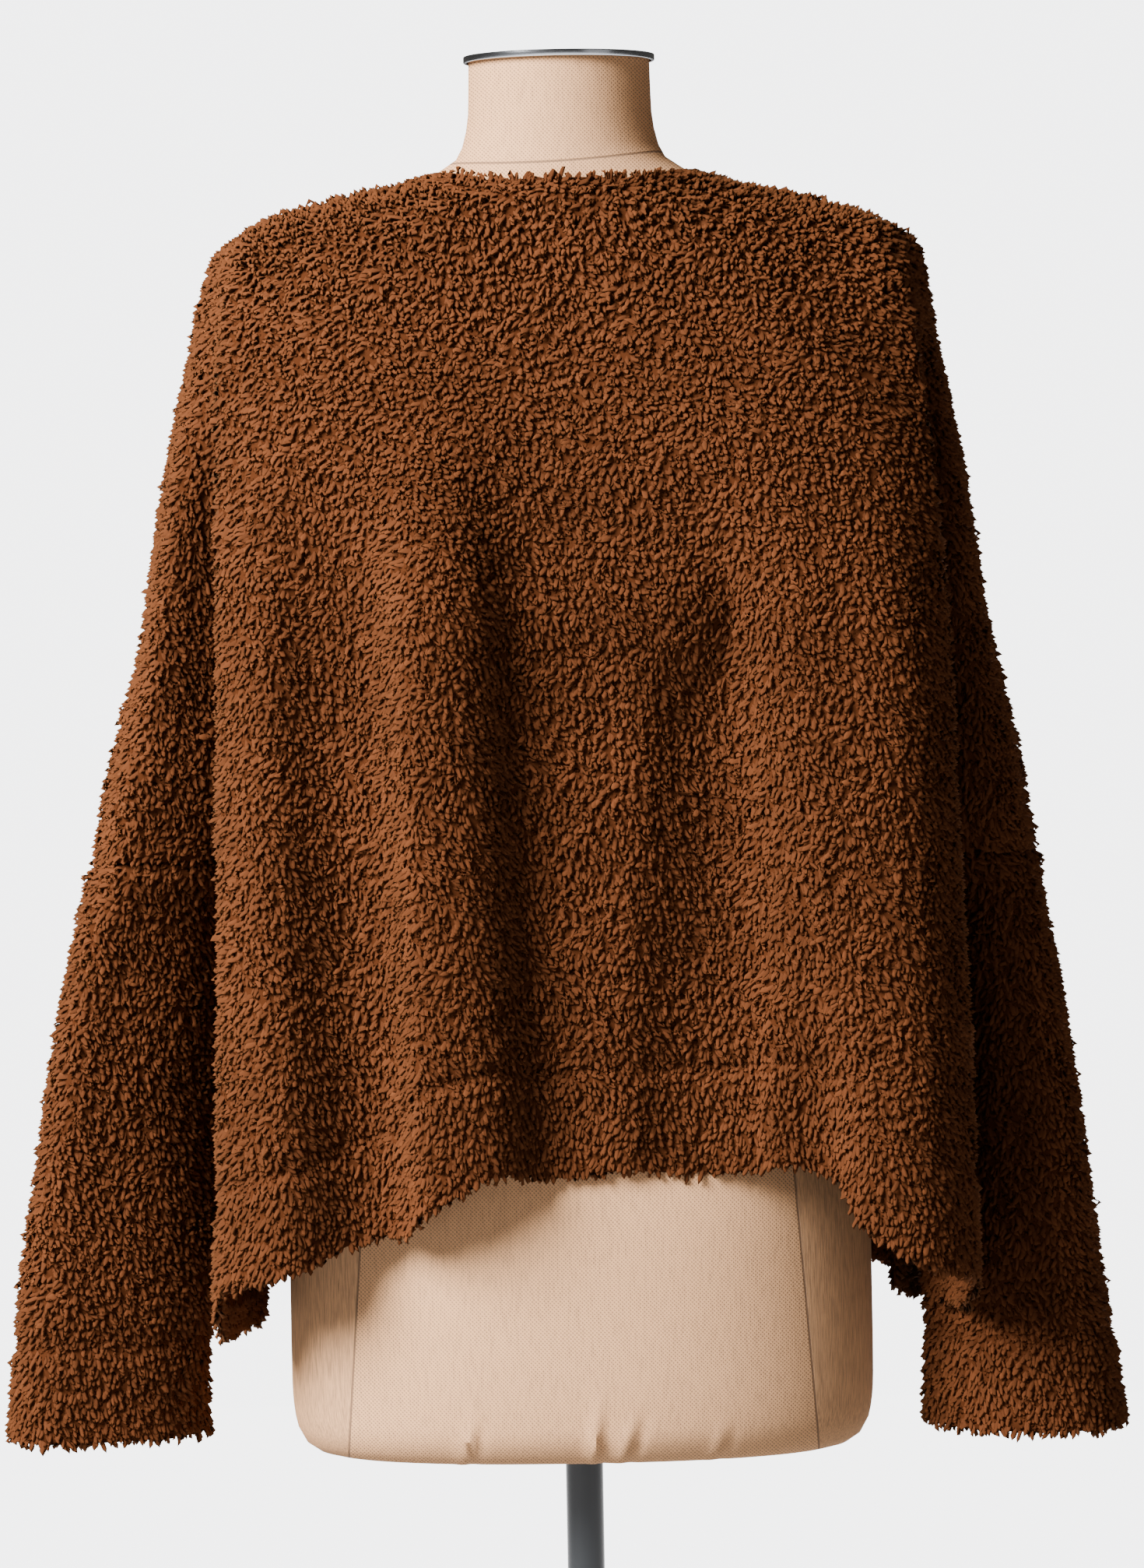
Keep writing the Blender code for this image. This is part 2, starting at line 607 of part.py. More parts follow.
def build_cap():
    """The round plate on the neck, its top slightly domed."""
    rings = [
        circle(CAP_RADIUS - CAP_ROUNDING, CAP_BOTTOM, CAP_CENTRE_Y),
        circle(CAP_RADIUS, CAP_BOTTOM + CAP_ROUNDING, CAP_CENTRE_Y),
        circle(CAP_RADIUS, CAP_BOTTOM + CAP_EDGE, CAP_CENTRE_Y),
        circle(CAP_RADIUS * 0.97, CAP_BOTTOM + CAP_EDGE + CAP_ROUNDING, CAP_CENTRE_Y),
        circle(CAP_RADIUS * 0.60, CAP_BOTTOM + CAP_RISE - CAP_ROUNDING, CAP_CENTRE_Y),
        circle(CAP_RADIUS * 0.20, CAP_BOTTOM + CAP_RISE, CAP_CENTRE_Y),
    ]
    return loft(rings)


def build_pole():
    foot = BASE_SOCKET_FLOOR + SEAM_GAP
    top = FORM_BOTTOM + POLE_SOCKET - SEAM_GAP
    return loft([circle(POLE_RADIUS, foot), circle(POLE_RADIUS, top)])


def build_base():
    """A plain round foot with a boss, whose blind socket takes the pole."""
    socket = POLE_RADIUS + SEAM_GAP
    rings = [
        circle(BASE_RADIUS - BASE_ROUNDING, 0.0),
        circle(BASE_RADIUS, BASE_ROUNDING),
        circle(BASE_RADIUS, BASE_EDGE - BASE_ROUNDING),
        circle(BASE_RADIUS - BASE_ROUNDING, BASE_EDGE),
        circle(BASE_BOSS_RADIUS + 0.010, BASE_EDGE + 0.006),
        circle(BASE_BOSS_RADIUS, BASE_EDGE + 0.010),
        circle(BASE_BOSS_RADIUS - 0.003, BASE_BOSS_HEIGHT - BASE_ROUNDING),
        circle(BASE_BOSS_RADIUS - 0.005, BASE_BOSS_HEIGHT),
        circle(socket, BASE_BOSS_HEIGHT),
        circle(socket, BASE_SOCKET_FLOOR),
    ]
    return loft(rings)


def add_object(name, mesh, finish, collection):
    item = bpy.data.objects.new(name, mesh)
    mesh.materials.append(finish)
    mesh.shade_smooth()
    mesh.set_sharp_from_angle(angle=SHARP_ANGLE)
    collection.objects.link(item)
    return item


def mesh_from(name, body):
    mesh = bpy.data.meshes.new(name)
    body.to_mesh(mesh)
    body.free()
    return mesh


def main():
    clear_scene()
    collection = bpy.data.collections.new("fleece_top_on_form")
    bpy.context.scene.collection.children.link(collection)
    fleece = material("fleece", (0.26, 0.11, 0.04), 0.95)
    linen = material("linen", (0.62, 0.50, 0.42), 0.85)
    chrome = material("chrome", (0.75, 0.75, 0.76), 0.15, 1.0)
    enamel = material("dark_enamel", (0.03, 0.03, 0.035), 0.25)
    form = build_form()
    form_tree = BVHTree.FromBMesh(form)
    surface, tag = garment_surface(form_tree)
    for piece, name in enumerate(PIECES):
        add_object(name, wall_mesh(surface, tag, piece), fleece, collection)
    surface.free()
    add_object("torso", mesh_from("torso", form), linen, collection)
    add_object("neck_cap", mesh_from("neck_cap", build_cap()), chrome, collection)
    add_object("pole", mesh_from("pole", build_pole()), enamel, collection)
    add_object("base", mesh_from("base", build_base()), enamel, collection)


main()
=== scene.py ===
"""Looks for a wide curly fleece pullover on a limbless dress form.

The cloth is a thin knitted backing with a pile of small curls on it. Both are worked out
from the same lines and levels: lines run down the panels, levels run round the body.
Metres, +Z up, and the front of the garment faces -Y.
"""
import math
from collections import namedtuple

import bmesh
import bpy
import numpy as np
from mathutils import Matrix, Vector, noise
from mathutils.bvhtree import BVHTree
from mathutils.kdtree import KDTree


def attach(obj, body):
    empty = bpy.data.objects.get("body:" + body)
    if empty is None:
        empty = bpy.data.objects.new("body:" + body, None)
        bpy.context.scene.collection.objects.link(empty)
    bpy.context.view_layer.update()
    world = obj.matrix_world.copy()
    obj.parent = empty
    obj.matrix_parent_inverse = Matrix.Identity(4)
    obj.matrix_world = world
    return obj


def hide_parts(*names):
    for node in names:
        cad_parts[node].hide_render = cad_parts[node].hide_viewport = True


bl_info = {
    "name": "Fleece top on a dress form",
    "version": (1, 0, 0),
    "blender": (4, 5, 0),
    "location": "View3D > Sidebar > Fleece top",
    "description": "Curly fleece, its backing, the linen form, its stand and a plain stage",
    "category": "Object",
}

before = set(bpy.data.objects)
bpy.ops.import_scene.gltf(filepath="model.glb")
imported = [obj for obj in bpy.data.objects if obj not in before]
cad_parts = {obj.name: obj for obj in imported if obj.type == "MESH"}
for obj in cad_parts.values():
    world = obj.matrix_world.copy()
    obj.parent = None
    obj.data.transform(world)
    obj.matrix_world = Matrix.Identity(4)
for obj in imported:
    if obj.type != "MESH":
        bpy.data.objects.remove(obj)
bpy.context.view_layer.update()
BODY = "root"

# The lines that run down the cloth, counted from the middle of a panel to the arm line
MIDDLE, CHEST, FLANK, EDGE, SIDE, CREASE, INNER, OUTER, ARM = range(9)
# The level at which the body's side seam starts and the sleeve becomes a tube
UNDERARM = 7
HEM = 10
INNER_SHARE = 0.24
OUTER_SHARE = 0.74
TUBE_INNER_SHARE = 0.22
TUBE_OUTER_SHARE = 0.76

# How far out each line lies, level by level from the shoulder seam to the hem
Plan = namedtuple("Plan", "chest flank edge_l edge_r side_l side_r crease_l crease_r arm_l arm_r")
PLAN = [
    Plan(0.052, 0.089, 0.160, 0.160, 0.178, 0.179, 0.188, 0.190, 0.209, 0.213),
    Plan(0.072, 0.118, 0.182, 0.184, 0.195, 0.198, 0.203, 0.206, 0.218, 0.2225),
    Plan(0.092, 0.152, 0.2035, 0.207, 0.2095, 0.213, 0.2115, 0.215, 0.2285, 0.2285),
    Plan(0.100, 0.172, 0.2105, 0.219, 0.2085, 0.216, 0.2045, 0.211, 0.2475, 0.2445),
    Plan(0.100, 0.175, 0.2120, 0.2245, 0.208, 0.2175, 0.2015, 0.208, 0.2635, 0.2575),
    Plan(0.100, 0.177, 0.2135, 0.2265, 0.207, 0.217, 0.200, 0.204, 0.2805, 0.2720),
    Plan(0.100, 0.178, 0.2145, 0.2280, 0.2065, 0.216, 0.199, 0.2015, 0.2920, 0.2815),
    Plan(0.100, 0.178, 0.2150, 0.2290, 0.206, 0.2155, 0.199, 0.2005, 0.2985, 0.2865),
    Plan(0.100, 0.178, 0.2170, 0.2325, 0.2095, 0.216, 0.1995, 0.1985, 0.3060, 0.2920),
    Plan(0.100, 0.179, 0.2180, 0.2360, 0.214, 0.217, 0.2000, 0.1975, 0.3140, 0.2980),
    Plan(0.100, 0.180, 0.2195, 0.2360, 0.221, 0.2225, 0.2005, 0.1975, 0.3200, 0.3020),
]

# How far forward or back each line lies at the same levels
Depth = namedtuple("Depth", "middle chest flank edge side crease inner outer arm")
FRONT = [
    Depth(-0.0755, -0.061, -0.006, 0.004, 0.005, 0.006, 0.006, 0.006, 0.006),
    Depth(-0.0860, -0.079, -0.058, -0.037, -0.031, -0.027, -0.020, -0.010, 0.006),
    Depth(-0.1020, -0.102, -0.093, -0.072, -0.061, -0.053, -0.040, -0.020, 0.007),
    Depth(-0.1260, -0.131, -0.118, -0.092, -0.080, -0.068, -0.052, -0.034, 0.008),
    Depth(-0.1400, -0.149, -0.131, -0.101, -0.078, -0.058, -0.046, -0.032, 0.009),
    Depth(-0.1420, -0.150, -0.133, -0.104, -0.072, -0.044, -0.038, -0.027, 0.010),
    Depth(-0.1430, -0.150, -0.134, -0.105, -0.065, -0.022, -0.032, -0.024, 0.011),
    Depth(-0.1430, -0.149, -0.134, -0.105, -0.060, 0.012, -0.026, -0.020, 0.012),
    Depth(-0.1420, -0.147, -0.134, -0.106, -0.056, 0.012, -0.021, -0.020, 0.012),
    Depth(-0.1410, -0.146, -0.135, -0.108, -0.056, 0.012, -0.021, -0.020, 0.012),
    Depth(-0.1400, -0.146, -0.136, -0.108, -0.058, 0.012, -0.021, -0.020, 0.012),
]
BACK = [
    Depth(0.0590, 0.050, -0.006, 0.004, 0.005, 0.006, 0.006, 0.006, 0.006),
    Depth(0.0760, 0.069, 0.048, 0.038, 0.035, 0.033, 0.029, 0.020, 0.006),
    Depth(0.1010, 0.099, 0.089, 0.071, 0.064, 0.058, 0.050, 0.034, 0.007),
    Depth(0.1160, 0.114, 0.104, 0.086, 0.080, 0.074, 0.066, 0.050, 0.008),
    Depth(0.1200, 0.118, 0.108, 0.094, 0.086, 0.078, 0.064, 0.050, 0.009),
    Depth(0.1180, 0.117, 0.110, 0.098, 0.084, 0.066, 0.058, 0.047, 0.010),
    Depth(0.1180, 0.117, 0.112, 0.100, 0.078, 0.046, 0.054, 0.045, 0.011),
    Depth(0.1190, 0.118, 0.113, 0.102, 0.074, 0.012, 0.050, 0.044, 0.012),
    Depth(0.1270, 0.125, 0.118, 0.105, 0.068, 0.012, 0.045, 0.044, 0.012),
    Depth(0.1360, 0.133, 0.124, 0.108, 0.068, 0.012, 0.045, 0.044, 0.012),
    Depth(0.1400, 0.137, 0.126, 0.108, 0.070, 0.012, 0.045, 0.044, 0.012),
]
SEAM_HEIGHTS = Depth(1.4485, 1.4492, 1.4500, 1.4372, 1.4310, 1.4270, 1.4230, 1.4195, 1.4155)
NAPE_HEIGHTS = Depth(1.4515, 1.4510, 1.4500, 1.4372, 1.4310, 1.4270, 1.4230, 1.4195, 1.4155)
OVER_HEIGHTS = Depth(1.4250, 1.4250, 1.4260, 1.4170, 1.4130, 1.4100, 1.4070, 1.4035, 1.4000)
LEVEL_HEIGHTS = {2: 1.364, 3: 1.280, 4: 1.190, 5: 1.110, 6: 1.060, 7: 1.0345}
UNDERARM_HEIGHT = LEVEL_HEIGHTS[UNDERARM]
LEVEL_KNOTS = [0.0, 0.045, 0.098, 0.182, 0.272, 0.352, 0.402, 0.4275, 0.512, 0.596, 0.672]

# The hem's height across each panel: raised over the bust, low at the side seams
Hem = namedtuple("Hem", "across height")
FRONT_HEM = [
    Hem(-0.2195, 0.777), Hem(-0.190, 0.786), Hem(-0.160, 0.794), Hem(-0.135, 0.807),
    Hem(-0.115, 0.818), Hem(-0.095, 0.838), Hem(-0.072, 0.848), Hem(-0.045, 0.848),
    Hem(-0.018, 0.844), Hem(0.025, 0.847), Hem(0.075, 0.8445), Hem(0.128, 0.849),
    Hem(0.150, 0.843), Hem(0.170, 0.817), Hem(0.190, 0.805), Hem(0.213, 0.798), Hem(0.236, 0.788),
]
BACK_HEM = [
    Hem(-0.2195, 0.762), Hem(-0.175, 0.772), Hem(-0.100, 0.780), Hem(0.000, 0.787),
    Hem(0.100, 0.784), Hem(0.180, 0.777), Hem(0.236, 0.774),
]
SIDE_HEM_FRONT = {-1: 0.745, 1: 0.765}
SIDE_HEM_BACK = {-1: 0.750, 1: 0.768}
SEAM_HEM = {-1: 0.752, 1: 0.772}

# Standing folds: where each lies high up and at the hem, where it starts and is full,
# its half width, how far it stands out (or in, below zero) and how far its crest leans;
# they fade out over the named lines beside the sleeves
Fold = namedtuple("Fold", "high low starts full width out lean")
FOLD_HIGH = 1.30
FOLD_LOW = 0.80
FOLD_FADE = (2.4, 3.4)
FRONT_FOLDS = [
    Fold(-0.158, -0.136, 1.33, 1.16, 0.025, -0.014, 0.000),
    Fold(-0.088, -0.084, 1.32, 1.18, 0.023, 0.014, -0.007),
    Fold(-0.042, -0.014, 1.28, 1.10, 0.027, -0.010, 0.000),
    Fold(0.034, 0.040, 1.22, 1.05, 0.025, 0.005, 0.000),
    Fold(0.085, 0.070, 1.28, 1.10, 0.027, -0.010, 0.000),
    Fold(0.138, 0.182, 1.33, 1.00, 0.030, 0.010, -0.004),
    Fold(0.150, 0.142, 1.00, 0.88, 0.020, -0.011, 0.000),
]
BACK_FOLDS = [
    Fold(-0.150, -0.160, 1.32, 1.12, 0.026, 0.008, 0.004),
    Fold(-0.100, -0.105, 1.30, 1.10, 0.026, -0.011, 0.000),
    Fold(-0.045, -0.050, 1.34, 1.12, 0.026, 0.011, 0.004),
    Fold(0.010, 0.004, 1.24, 1.06, 0.026, -0.007, 0.000),
    Fold(0.060, 0.066, 1.30, 1.10, 0.028, 0.010, -0.004),
    Fold(0.120, 0.118, 1.32, 1.14, 0.026, -0.012, 0.000),
    Fold(0.166, 0.176, 1.32, 1.12, 0.024, 0.007, 0.000),
]

# Lower sleeves, from the elbow seam to the cuff's edge
Sleeve = namedtuple("Sleeve", "height inner_l outer_l inner_r outer_r front back dent")
SLEEVES = [
    Sleeve(1.0345, 0.1990, 0.2985, 0.2005, 0.2865, -0.020, 0.044, 0.000),
    Sleeve(1.0000, 0.2090, 0.3085, 0.2110, 0.2920, -0.020, 0.045, 0.001),
    Sleeve(0.9500, 0.2220, 0.3195, 0.2190, 0.3010, -0.019, 0.045, 0.004),
    Sleeve(0.8800, 0.2300, 0.3320, 0.2180, 0.3115, -0.018, 0.044, 0.006),
    Sleeve(0.8000, 0.2320, 0.3450, 0.2155, 0.3205, -0.018, 0.044, 0.005),
    Sleeve(0.7300, 0.2315, 0.3540, 0.2135, 0.3310, -0.017, 0.043, 0.002),
    Sleeve(0.6810, 0.2305, 0.3590, 0.2130, 0.3390, -0.017, 0.042, 0.000),
]
CUFF = len(SLEEVES) - 1

# How finely the backing is divided, in counts for each stretch between two lines or levels
COLUMN_COUNTS = [14, 11, 6, 7, 9, 4, 7, 4]
ROW_COUNTS = [6, 7, 12, 12, 11, 7, 4, 12, 12, 11]
SLEEVE_COUNTS = [5, 7, 10, 11, 10, 7]

# The cloth: how deep its backing lies under the curls' outer face, and how it is turned up
BACKING_DEPTH = 0.0034
BACKING_THICKNESS = 0.0012
FORM_CLEARANCE = 0.0070
BACKING_CLEARANCE = 0.0018
TURN_GAP = 0.0034
HEM_TURN = 0.062
CUFF_TURN = 0.057

# Where the backing departs from the plain panels: at its edges, stitch lines, creases and sleeves
FLANK_DROP = {-1: 0.0040, 1: 0.0050}
FLANK_DROP_WIDTH = 0.45
EDGE_BARE = 0.0012
CUFF_DROP = 0.0050
CUFF_DROP_REACH = 0.09
HEM_LEVEL_LENGTH = 0.076
CUFF_LEVEL_LENGTH = 0.049
STITCH_DEPTH = -0.0027
STITCH_WIDTH = 0.0040
TURN_SWELL = 0.0006
ELBOW_SWELL = 0.0026
ELBOW_SWELL_UP = -0.007
ELBOW_SWELL_WIDTH = 0.009
ELBOW_DIP = -0.0022
CREASE_DEEPER = 0.014
CREASE_WIDTH = 0.55
CREASE_STARTS = (1.33, 1.26)
CREASE_ENDS = (UNDERARM_HEIGHT - 0.01, UNDERARM_HEIGHT + 0.05)
ARM_ROUNDING = 0.0030
ARM_ROUNDING_STARTS = (1.34, 1.24)
ARM_TURN = 0.030
ARM_FORWARD = {-1: 0.008, 1: 0.027}
ARM_TURN_STARTS = (1.36, 1.20)
SLEEVE_TUCK = 0.011
SLEEVE_TUCK_STARTS = (1.02, 0.93)
SLEEVE_TUCK_ENDS = (0.720, 0.765)
CUFF_TUCK = 0.004
CUFF_TUCK_STARTS = (0.82, 0.74)
TUCKED_SHARE = (0.0, 0.45)
SHOULDER_RAISE = 0.0035
SHOULDER_CREST = (0.122, 0.028)
NORMAL_BLEND = 0.3
ELBOW_PUFF = 0.0040
ELBOW_PUFF_HEIGHT = 1.085
ELBOW_PUFF_TALL = 0.045
UNEVEN = 0.0014
UNEVEN_SCALE = 21.0
FAR = 9.0
WELD = 0.00005

# Folds that only the cloth shows, over those of the panels
FINE_FRONT_FOLDS = [
    Fold(-0.134, -0.122, 1.32, 1.16, 0.021, -0.0135, 0.0),
    Fold(-0.070, -0.052, 1.33, 1.17, 0.024, 0.0150, 0.0),
    Fold(0.014, 0.044, 1.30, 1.10, 0.046, -0.0170, 0.0),
    Fold(0.082, 0.078, 1.30, 1.10, 0.046, -0.0090, 0.0),
    Fold(0.078, 0.112, 1.32, 1.14, 0.028, -0.0170, 0.0),
    Fold(-0.188, -0.182, 1.28, 1.12, 0.017, 0.0055, 0.0),
    Fold(0.188, 0.204, 1.33, 1.12, 0.028, 0.0200, 0.0),
    Fold(0.146, 0.148, 0.98, 0.86, 0.014, -0.0040, 0.0),
]
FINE_BACK_FOLDS = [
    Fold(-0.150, -0.160, 1.32, 1.12, 0.026, 0.0050, 0.0),
    Fold(-0.100, -0.105, 1.30, 1.10, 0.026, -0.0070, 0.0),
    Fold(-0.045, -0.050, 1.34, 1.12, 0.026, 0.0070, 0.0),
    Fold(0.060, 0.066, 1.30, 1.10, 0.028, 0.0065, 0.0),
    Fold(0.120, 0.118, 1.32, 1.14, 0.026, -0.0075, 0.0),
    Fold(-0.124, -0.130, 1.26, 1.10, 0.012, 0.0026, 0.0),
    Fold(-0.018, -0.022, 1.22, 1.04, 0.012, -0.0026, 0.0),
    Fold(0.088, 0.094, 1.26, 1.08, 0.012, -0.0024, 0.0),
    Fold(0.146, 0.150, 1.20, 1.04, 0.012, 0.0026, 0.0),
]

# Where the turned hem sags lower than its control points say
HemSag = namedtuple("HemSag", "across width drop")
HEM_SAGS = {
    "front": [HemSag(-0.086, 0.021, 0.018), HemSag(0.215, 0.034, 0.013)],
    "back": [HemSag(0.215, 0.034, 0.013)],
}
HEM_SAG_REACH = 0.11

# How a curl stands and bends, and how the nap wanders over the cloth
CURL_BELLY = 0.74
CURL_FOOT = 1.12
CURL_LIFT = 0.78
CURL_LEAN = 0.84
CURL_RISE = 2.35
CURL_FALL = 2.0
STRAGGLERS = 0.10
ROOT_SUNK = 0.10
SWIRL = 0.95
SWIRL_SCALE = 34.0
SCATTERED = 0.38
UP_AT_NECK = 0.65
NECK_DENSITY = 1.6
NECK_RIM = 0.005
NECK_SIDES = (0.056, 0.070)
BACK_PITCH = 1.14
CLUMP_SCALE = 110.0
# Small loops on the backing itself, in the pattern of its material; their tops are lighter than the hollows
# between them, as painted shade in the hollows
LOOP_SCALE = 330.0
LOOP_TONE = 0.75
SCATTER_JITTER = 0.30
SCATTER_STEPS = (0.7548776662, 0.5698402910)
# The pile is longer and hangs straighter above the chest, between these heights
YOKE = (1.33, 1.41)
YOKE_LONGER = 0.35

# How far a curl is shaded as the cloth under it, so that folds show through the pile
CLOTH_SHADING = 0.66

# The dress form, from the top of its neck down to its bottom edge
Section = namedtuple("Section", "height half_width front back squareness")
FORM = [
    Section(1.5225, 0.0556, -0.0625, 0.0465, 2.00),
    Section(1.4900, 0.0565, -0.0620, 0.0460, 2.00),
    Section(1.4700, 0.0605, -0.0622, 0.0465, 2.00),
    Section(1.4625, 0.0645, -0.0630, 0.0475, 2.00),
    Section(1.4565, 0.0735, -0.0640, 0.0490, 2.00),
    Section(1.4505, 0.0830, -0.0655, 0.0510, 2.00),
    Section(1.4445, 0.0945, -0.0670, 0.0530, 1.95),
    Section(1.4380, 0.1150, -0.0690, 0.0555, 1.90),
    Section(1.4320, 0.1365, -0.0705, 0.0580, 1.90),
    Section(1.4225, 0.1640, -0.0740, 0.0640, 1.95),
    Section(1.4125, 0.1840, -0.0775, 0.0690, 2.05),
    Section(1.4000, 0.1950, -0.0820, 0.0760, 2.15),
    Section(1.3760, 0.1985, -0.0890, 0.0850, 2.25),
    Section(1.3400, 0.1960, -0.1000, 0.0940, 2.30),
    Section(1.3000, 0.1880, -0.1120, 0.1000, 2.30),
    Section(1.2500, 0.1740, -0.1230, 0.1010, 2.30),
    Section(1.1900, 0.1630, -0.1280, 0.0960, 2.30),
    Section(1.1300, 0.1500, -0.1150, 0.0850, 2.25),
    Section(1.0700, 0.1370, -0.1000, 0.0770, 2.20),
    Section(1.0300, 0.1330, -0.0950, 0.0760, 2.20),
    Section(0.9800, 0.1400, -0.0980, 0.0860, 2.20),
    Section(0.9200, 0.1590, -0.1080, 0.1060, 2.25),
    Section(0.8600, 0.1750, -0.1160, 0.1200, 2.30),
    Section(0.8000, 0.1800, -0.1185, 0.1230, 2.30),
    Section(0.7400, 0.1800, -0.1175, 0.1170, 2.30),
    Section(0.7100, 0.1798, -0.1165, 0.1150, 2.30),
    Section(0.6970, 0.1790, -0.1155, 0.1135, 2.30),
    Section(0.6840, 0.1765, -0.1135, 0.1110, 2.30),
    Section(0.6750, 0.1715, -0.1080, 0.1050, 2.30),
    Section(0.6700, 0.1640, -0.1010, 0.0980, 2.30),
    Section(0.6680, 0.1560, -0.0930, 0.0900, 2.30),
]
FORM_SIDES = 220
FORM_STEP = 0.012
FORM_FRONT_FINER = 0.55
FORM_BALANCE = 0.55
BUST_HEIGHT = 1.19
BUST_OUT = 0.085
BUST_DEPTH = 0.011
BUST_SPREAD = 0.048
BUST_TALL = 0.055
# Small gathers above the form's bottom edge
Gather = namedtuple("Gather", "across slant width top out")
GATHERS = [
    Gather(-0.074, 0.30, 0.0034, 0.706, 0.0036),
    Gather(-0.068, 0.30, 0.0030, 0.702, -0.0022),
    Gather(0.005, 0.12, 0.0034, 0.716, 0.0036),
    Gather(0.011, 0.12, 0.0030, 0.704, -0.0020),
    Gather(0.021, 0.35, 0.0034, 0.706, 0.0028),
    Gather(0.028, 0.35, 0.0032, 0.706, -0.0024),
    Gather(0.076, 0.45, 0.0034, 0.694, 0.0020),
    Gather(0.083, 0.45, 0.0032, 0.692, -0.0018),
]

# The neck cap, the pole and the base
TURNED_SIDES = 96
SEAM_GAP = 0.0003
CAP_RADIUS = 0.0588
CAP_CENTRE_Y = -0.008
CAP_BOTTOM = 1.5228
CAP_EDGE = 0.0020
CAP_SKIRT = 0.0015
CAP_INSIDE = 0.0570
CAP_RISE = 0.0034
CAP_ROUNDING = 0.0006
POLE_RADIUS = 0.0115
POLE_SOCKET = 0.030
BASE_RADIUS = 0.170
BASE_EDGE = 0.008
BASE_ROUNDING = 0.002
BASE_BOSS_RADIUS = 0.027
BASE_BOSS_HEIGHT = 0.034
BASE_SOCKET_FLOOR = 0.010

FORM_SHARP = math.radians(38.0)
# The cover's seams and its twill
LINEN_SEAM_TOP = 0.790
LINEN_SEAM_SPREAD = 0.075
LINEN_SEAM_ACROSS = 0.1345
NECK_SEAM_HEIGHT = 1.4572
NECK_SEAM_BOW = 1.15
NECK_SEAM_SHIFT = 0.020
LINEN_SEAM_WIDTH = 0.00042
NECK_SEAM_WIDTH = 0.00045
TWILL = 2600.0
TWILL_SHARE = 0.60
THREAD_SHARE = 0.16
SLUB_SHARE = 0.16
STITCH_SHARE = 0.75
CHROME_COLOUR = (0.36, 0.37, 0.39)

# A record of how much cloth a piece was cut from; nothing here fills it
Cut = namedtuple("Cut", "width length area")

# The stage, its lights and the camera
FLOOR_REACH = 6.5
FLOOR_SIDES = 96
WORLD_COLOUR = (1.0, 0.94, 0.87, 1.0)
REFLECTED_SHARE = 0.6
FLOOR_BOUNCE = 0.35
LIGHT_TARGET = (0.0, 0.0, 1.12)
KEY_PLACE = (-3.15, -2.9, 3.5)
KEY_SIZE = 3.0
FILL_PLACE = (2.6, -2.4, 1.5)
FILL_SIZE = 2.2
CAMERA_PLACE = (0.0, -4.6, 1.19)
CAMERA_SENSOR = 36.0
CAMERA_LENS = 171.3
CAMERA_DOWN = 1.4
CAMERA_ROLL = -1.05


class CurlSettings(bpy.types.PropertyGroup):
    """Sizes and colours of the fleece's curls."""

    pitch: bpy.props.FloatProperty(
        name="Pitch", description="Distance from one curl to the next", default=0.00352,
        min=0.002, unit="LENGTH",
    )
    length: bpy.props.FloatProperty(
        name="Length", description="Length of a curl on the body", default=0.0056, unit="LENGTH",
    )
    hem_length: bpy.props.FloatProperty(
        name="Hem length", description="Length of the locks on the turned hem and cuffs",
        default=0.0058, unit="LENGTH",
    )
    radius: bpy.props.FloatProperty(
        name="Radius", description="Half the thickness of a curl", default=0.00172, unit="LENGTH",
    )
    # Darker than the middle of a curl: painted shade deep between the curls
    root: bpy.props.FloatVectorProperty(
        name="Root", description="Colour deep between the curls", subtype="COLOR",
        default=(0.088, 0.0280, 0.0108),
    )
    middle: bpy.props.FloatVectorProperty(
        name="Middle", description="Colour half way up a curl", subtype="COLOR",
        default=(0.098, 0.0308, 0.0114),
    )
    # Lighter than the middle of a curl: painted light on the curls' tips
    tip: bpy.props.FloatVectorProperty(
        name="Tip", description="Colour of a curl's tip", subtype="COLOR",
        default=(0.120, 0.0385, 0.0134),
    )
    # Darker than the curls: painted shade deep under the pile
    backing: bpy.props.FloatVectorProperty(
        name="Backing", description="Colour of the knitted backing", subtype="COLOR",
        default=(0.064, 0.0200, 0.0072),
    )


class FormSettings(bpy.types.PropertyGroup):
    """Colours of the dress form and its stand."""

    linen: bpy.props.FloatVectorProperty(
        name="Linen", description="Colour of the form's cover", subtype="COLOR",
        default=(0.860, 0.460, 0.226),
    )
    thread: bpy.props.FloatVectorProperty(
        name="Thread", description="Colour of the cover's dark threads and stitches",
        subtype="COLOR", default=(0.150, 0.095, 0.065),
    )
    enamel: bpy.props.FloatVectorProperty(
        name="Enamel", description="Colour of the pole and base", subtype="COLOR",
        default=(0.030, 0.033, 0.036),
    )


class StageSettings(bpy.types.PropertyGroup):
    """The plain stage."""

    floor: bpy.props.FloatVectorProperty(
        name="Floor", description="Colour of the floor and of what lies beyond it", subtype="COLOR",
        default=(0.86, 0.865, 0.88),
    )
    key: bpy.props.FloatProperty(
        name="Key light", description="Strength of the main light", default=1060.0, unit="POWER",
    )
    fill: bpy.props.FloatProperty(
        name="Fill light", description="Strength of the light from the right", default=7.0,
        unit="POWER",
    )
    around: bpy.props.FloatProperty(
        name="Light around", description="Strength of the even light all round", default=0.11,
    )
    glow: bpy.props.FloatProperty(
        name="Glow", description="How brightly the floor and what lies beyond it show", default=5.5,
    )


def eased(low, high, values):
    """0 at low and 1 at high, smooth between; low may lie above high."""
    share = np.clip((np.asarray(values, float) - low) / (high - low), 0.0, 1.0)
    return share * share * (3.0 - 2.0 * share)


def bump(values, middle, width):
    return np.exp(-((np.asarray(values, float) - middle) / width) ** 2)


def steps(counts):
    """Places 0, 1/n ... along stretches that are each divided into a count of parts."""
    places = [0.0]
    for stretch, count in enumerate(counts):
        places += [stretch + (part + 1) / count for part in range(count)]
    return np.array(places)


def mirrored(half):
    """Places on both sides of the middle, from those on one side."""
    return np.concatenate([-half[:0:-1], half])


def middles(places):
    return 0.5 * (places[1:] + places[:-1])


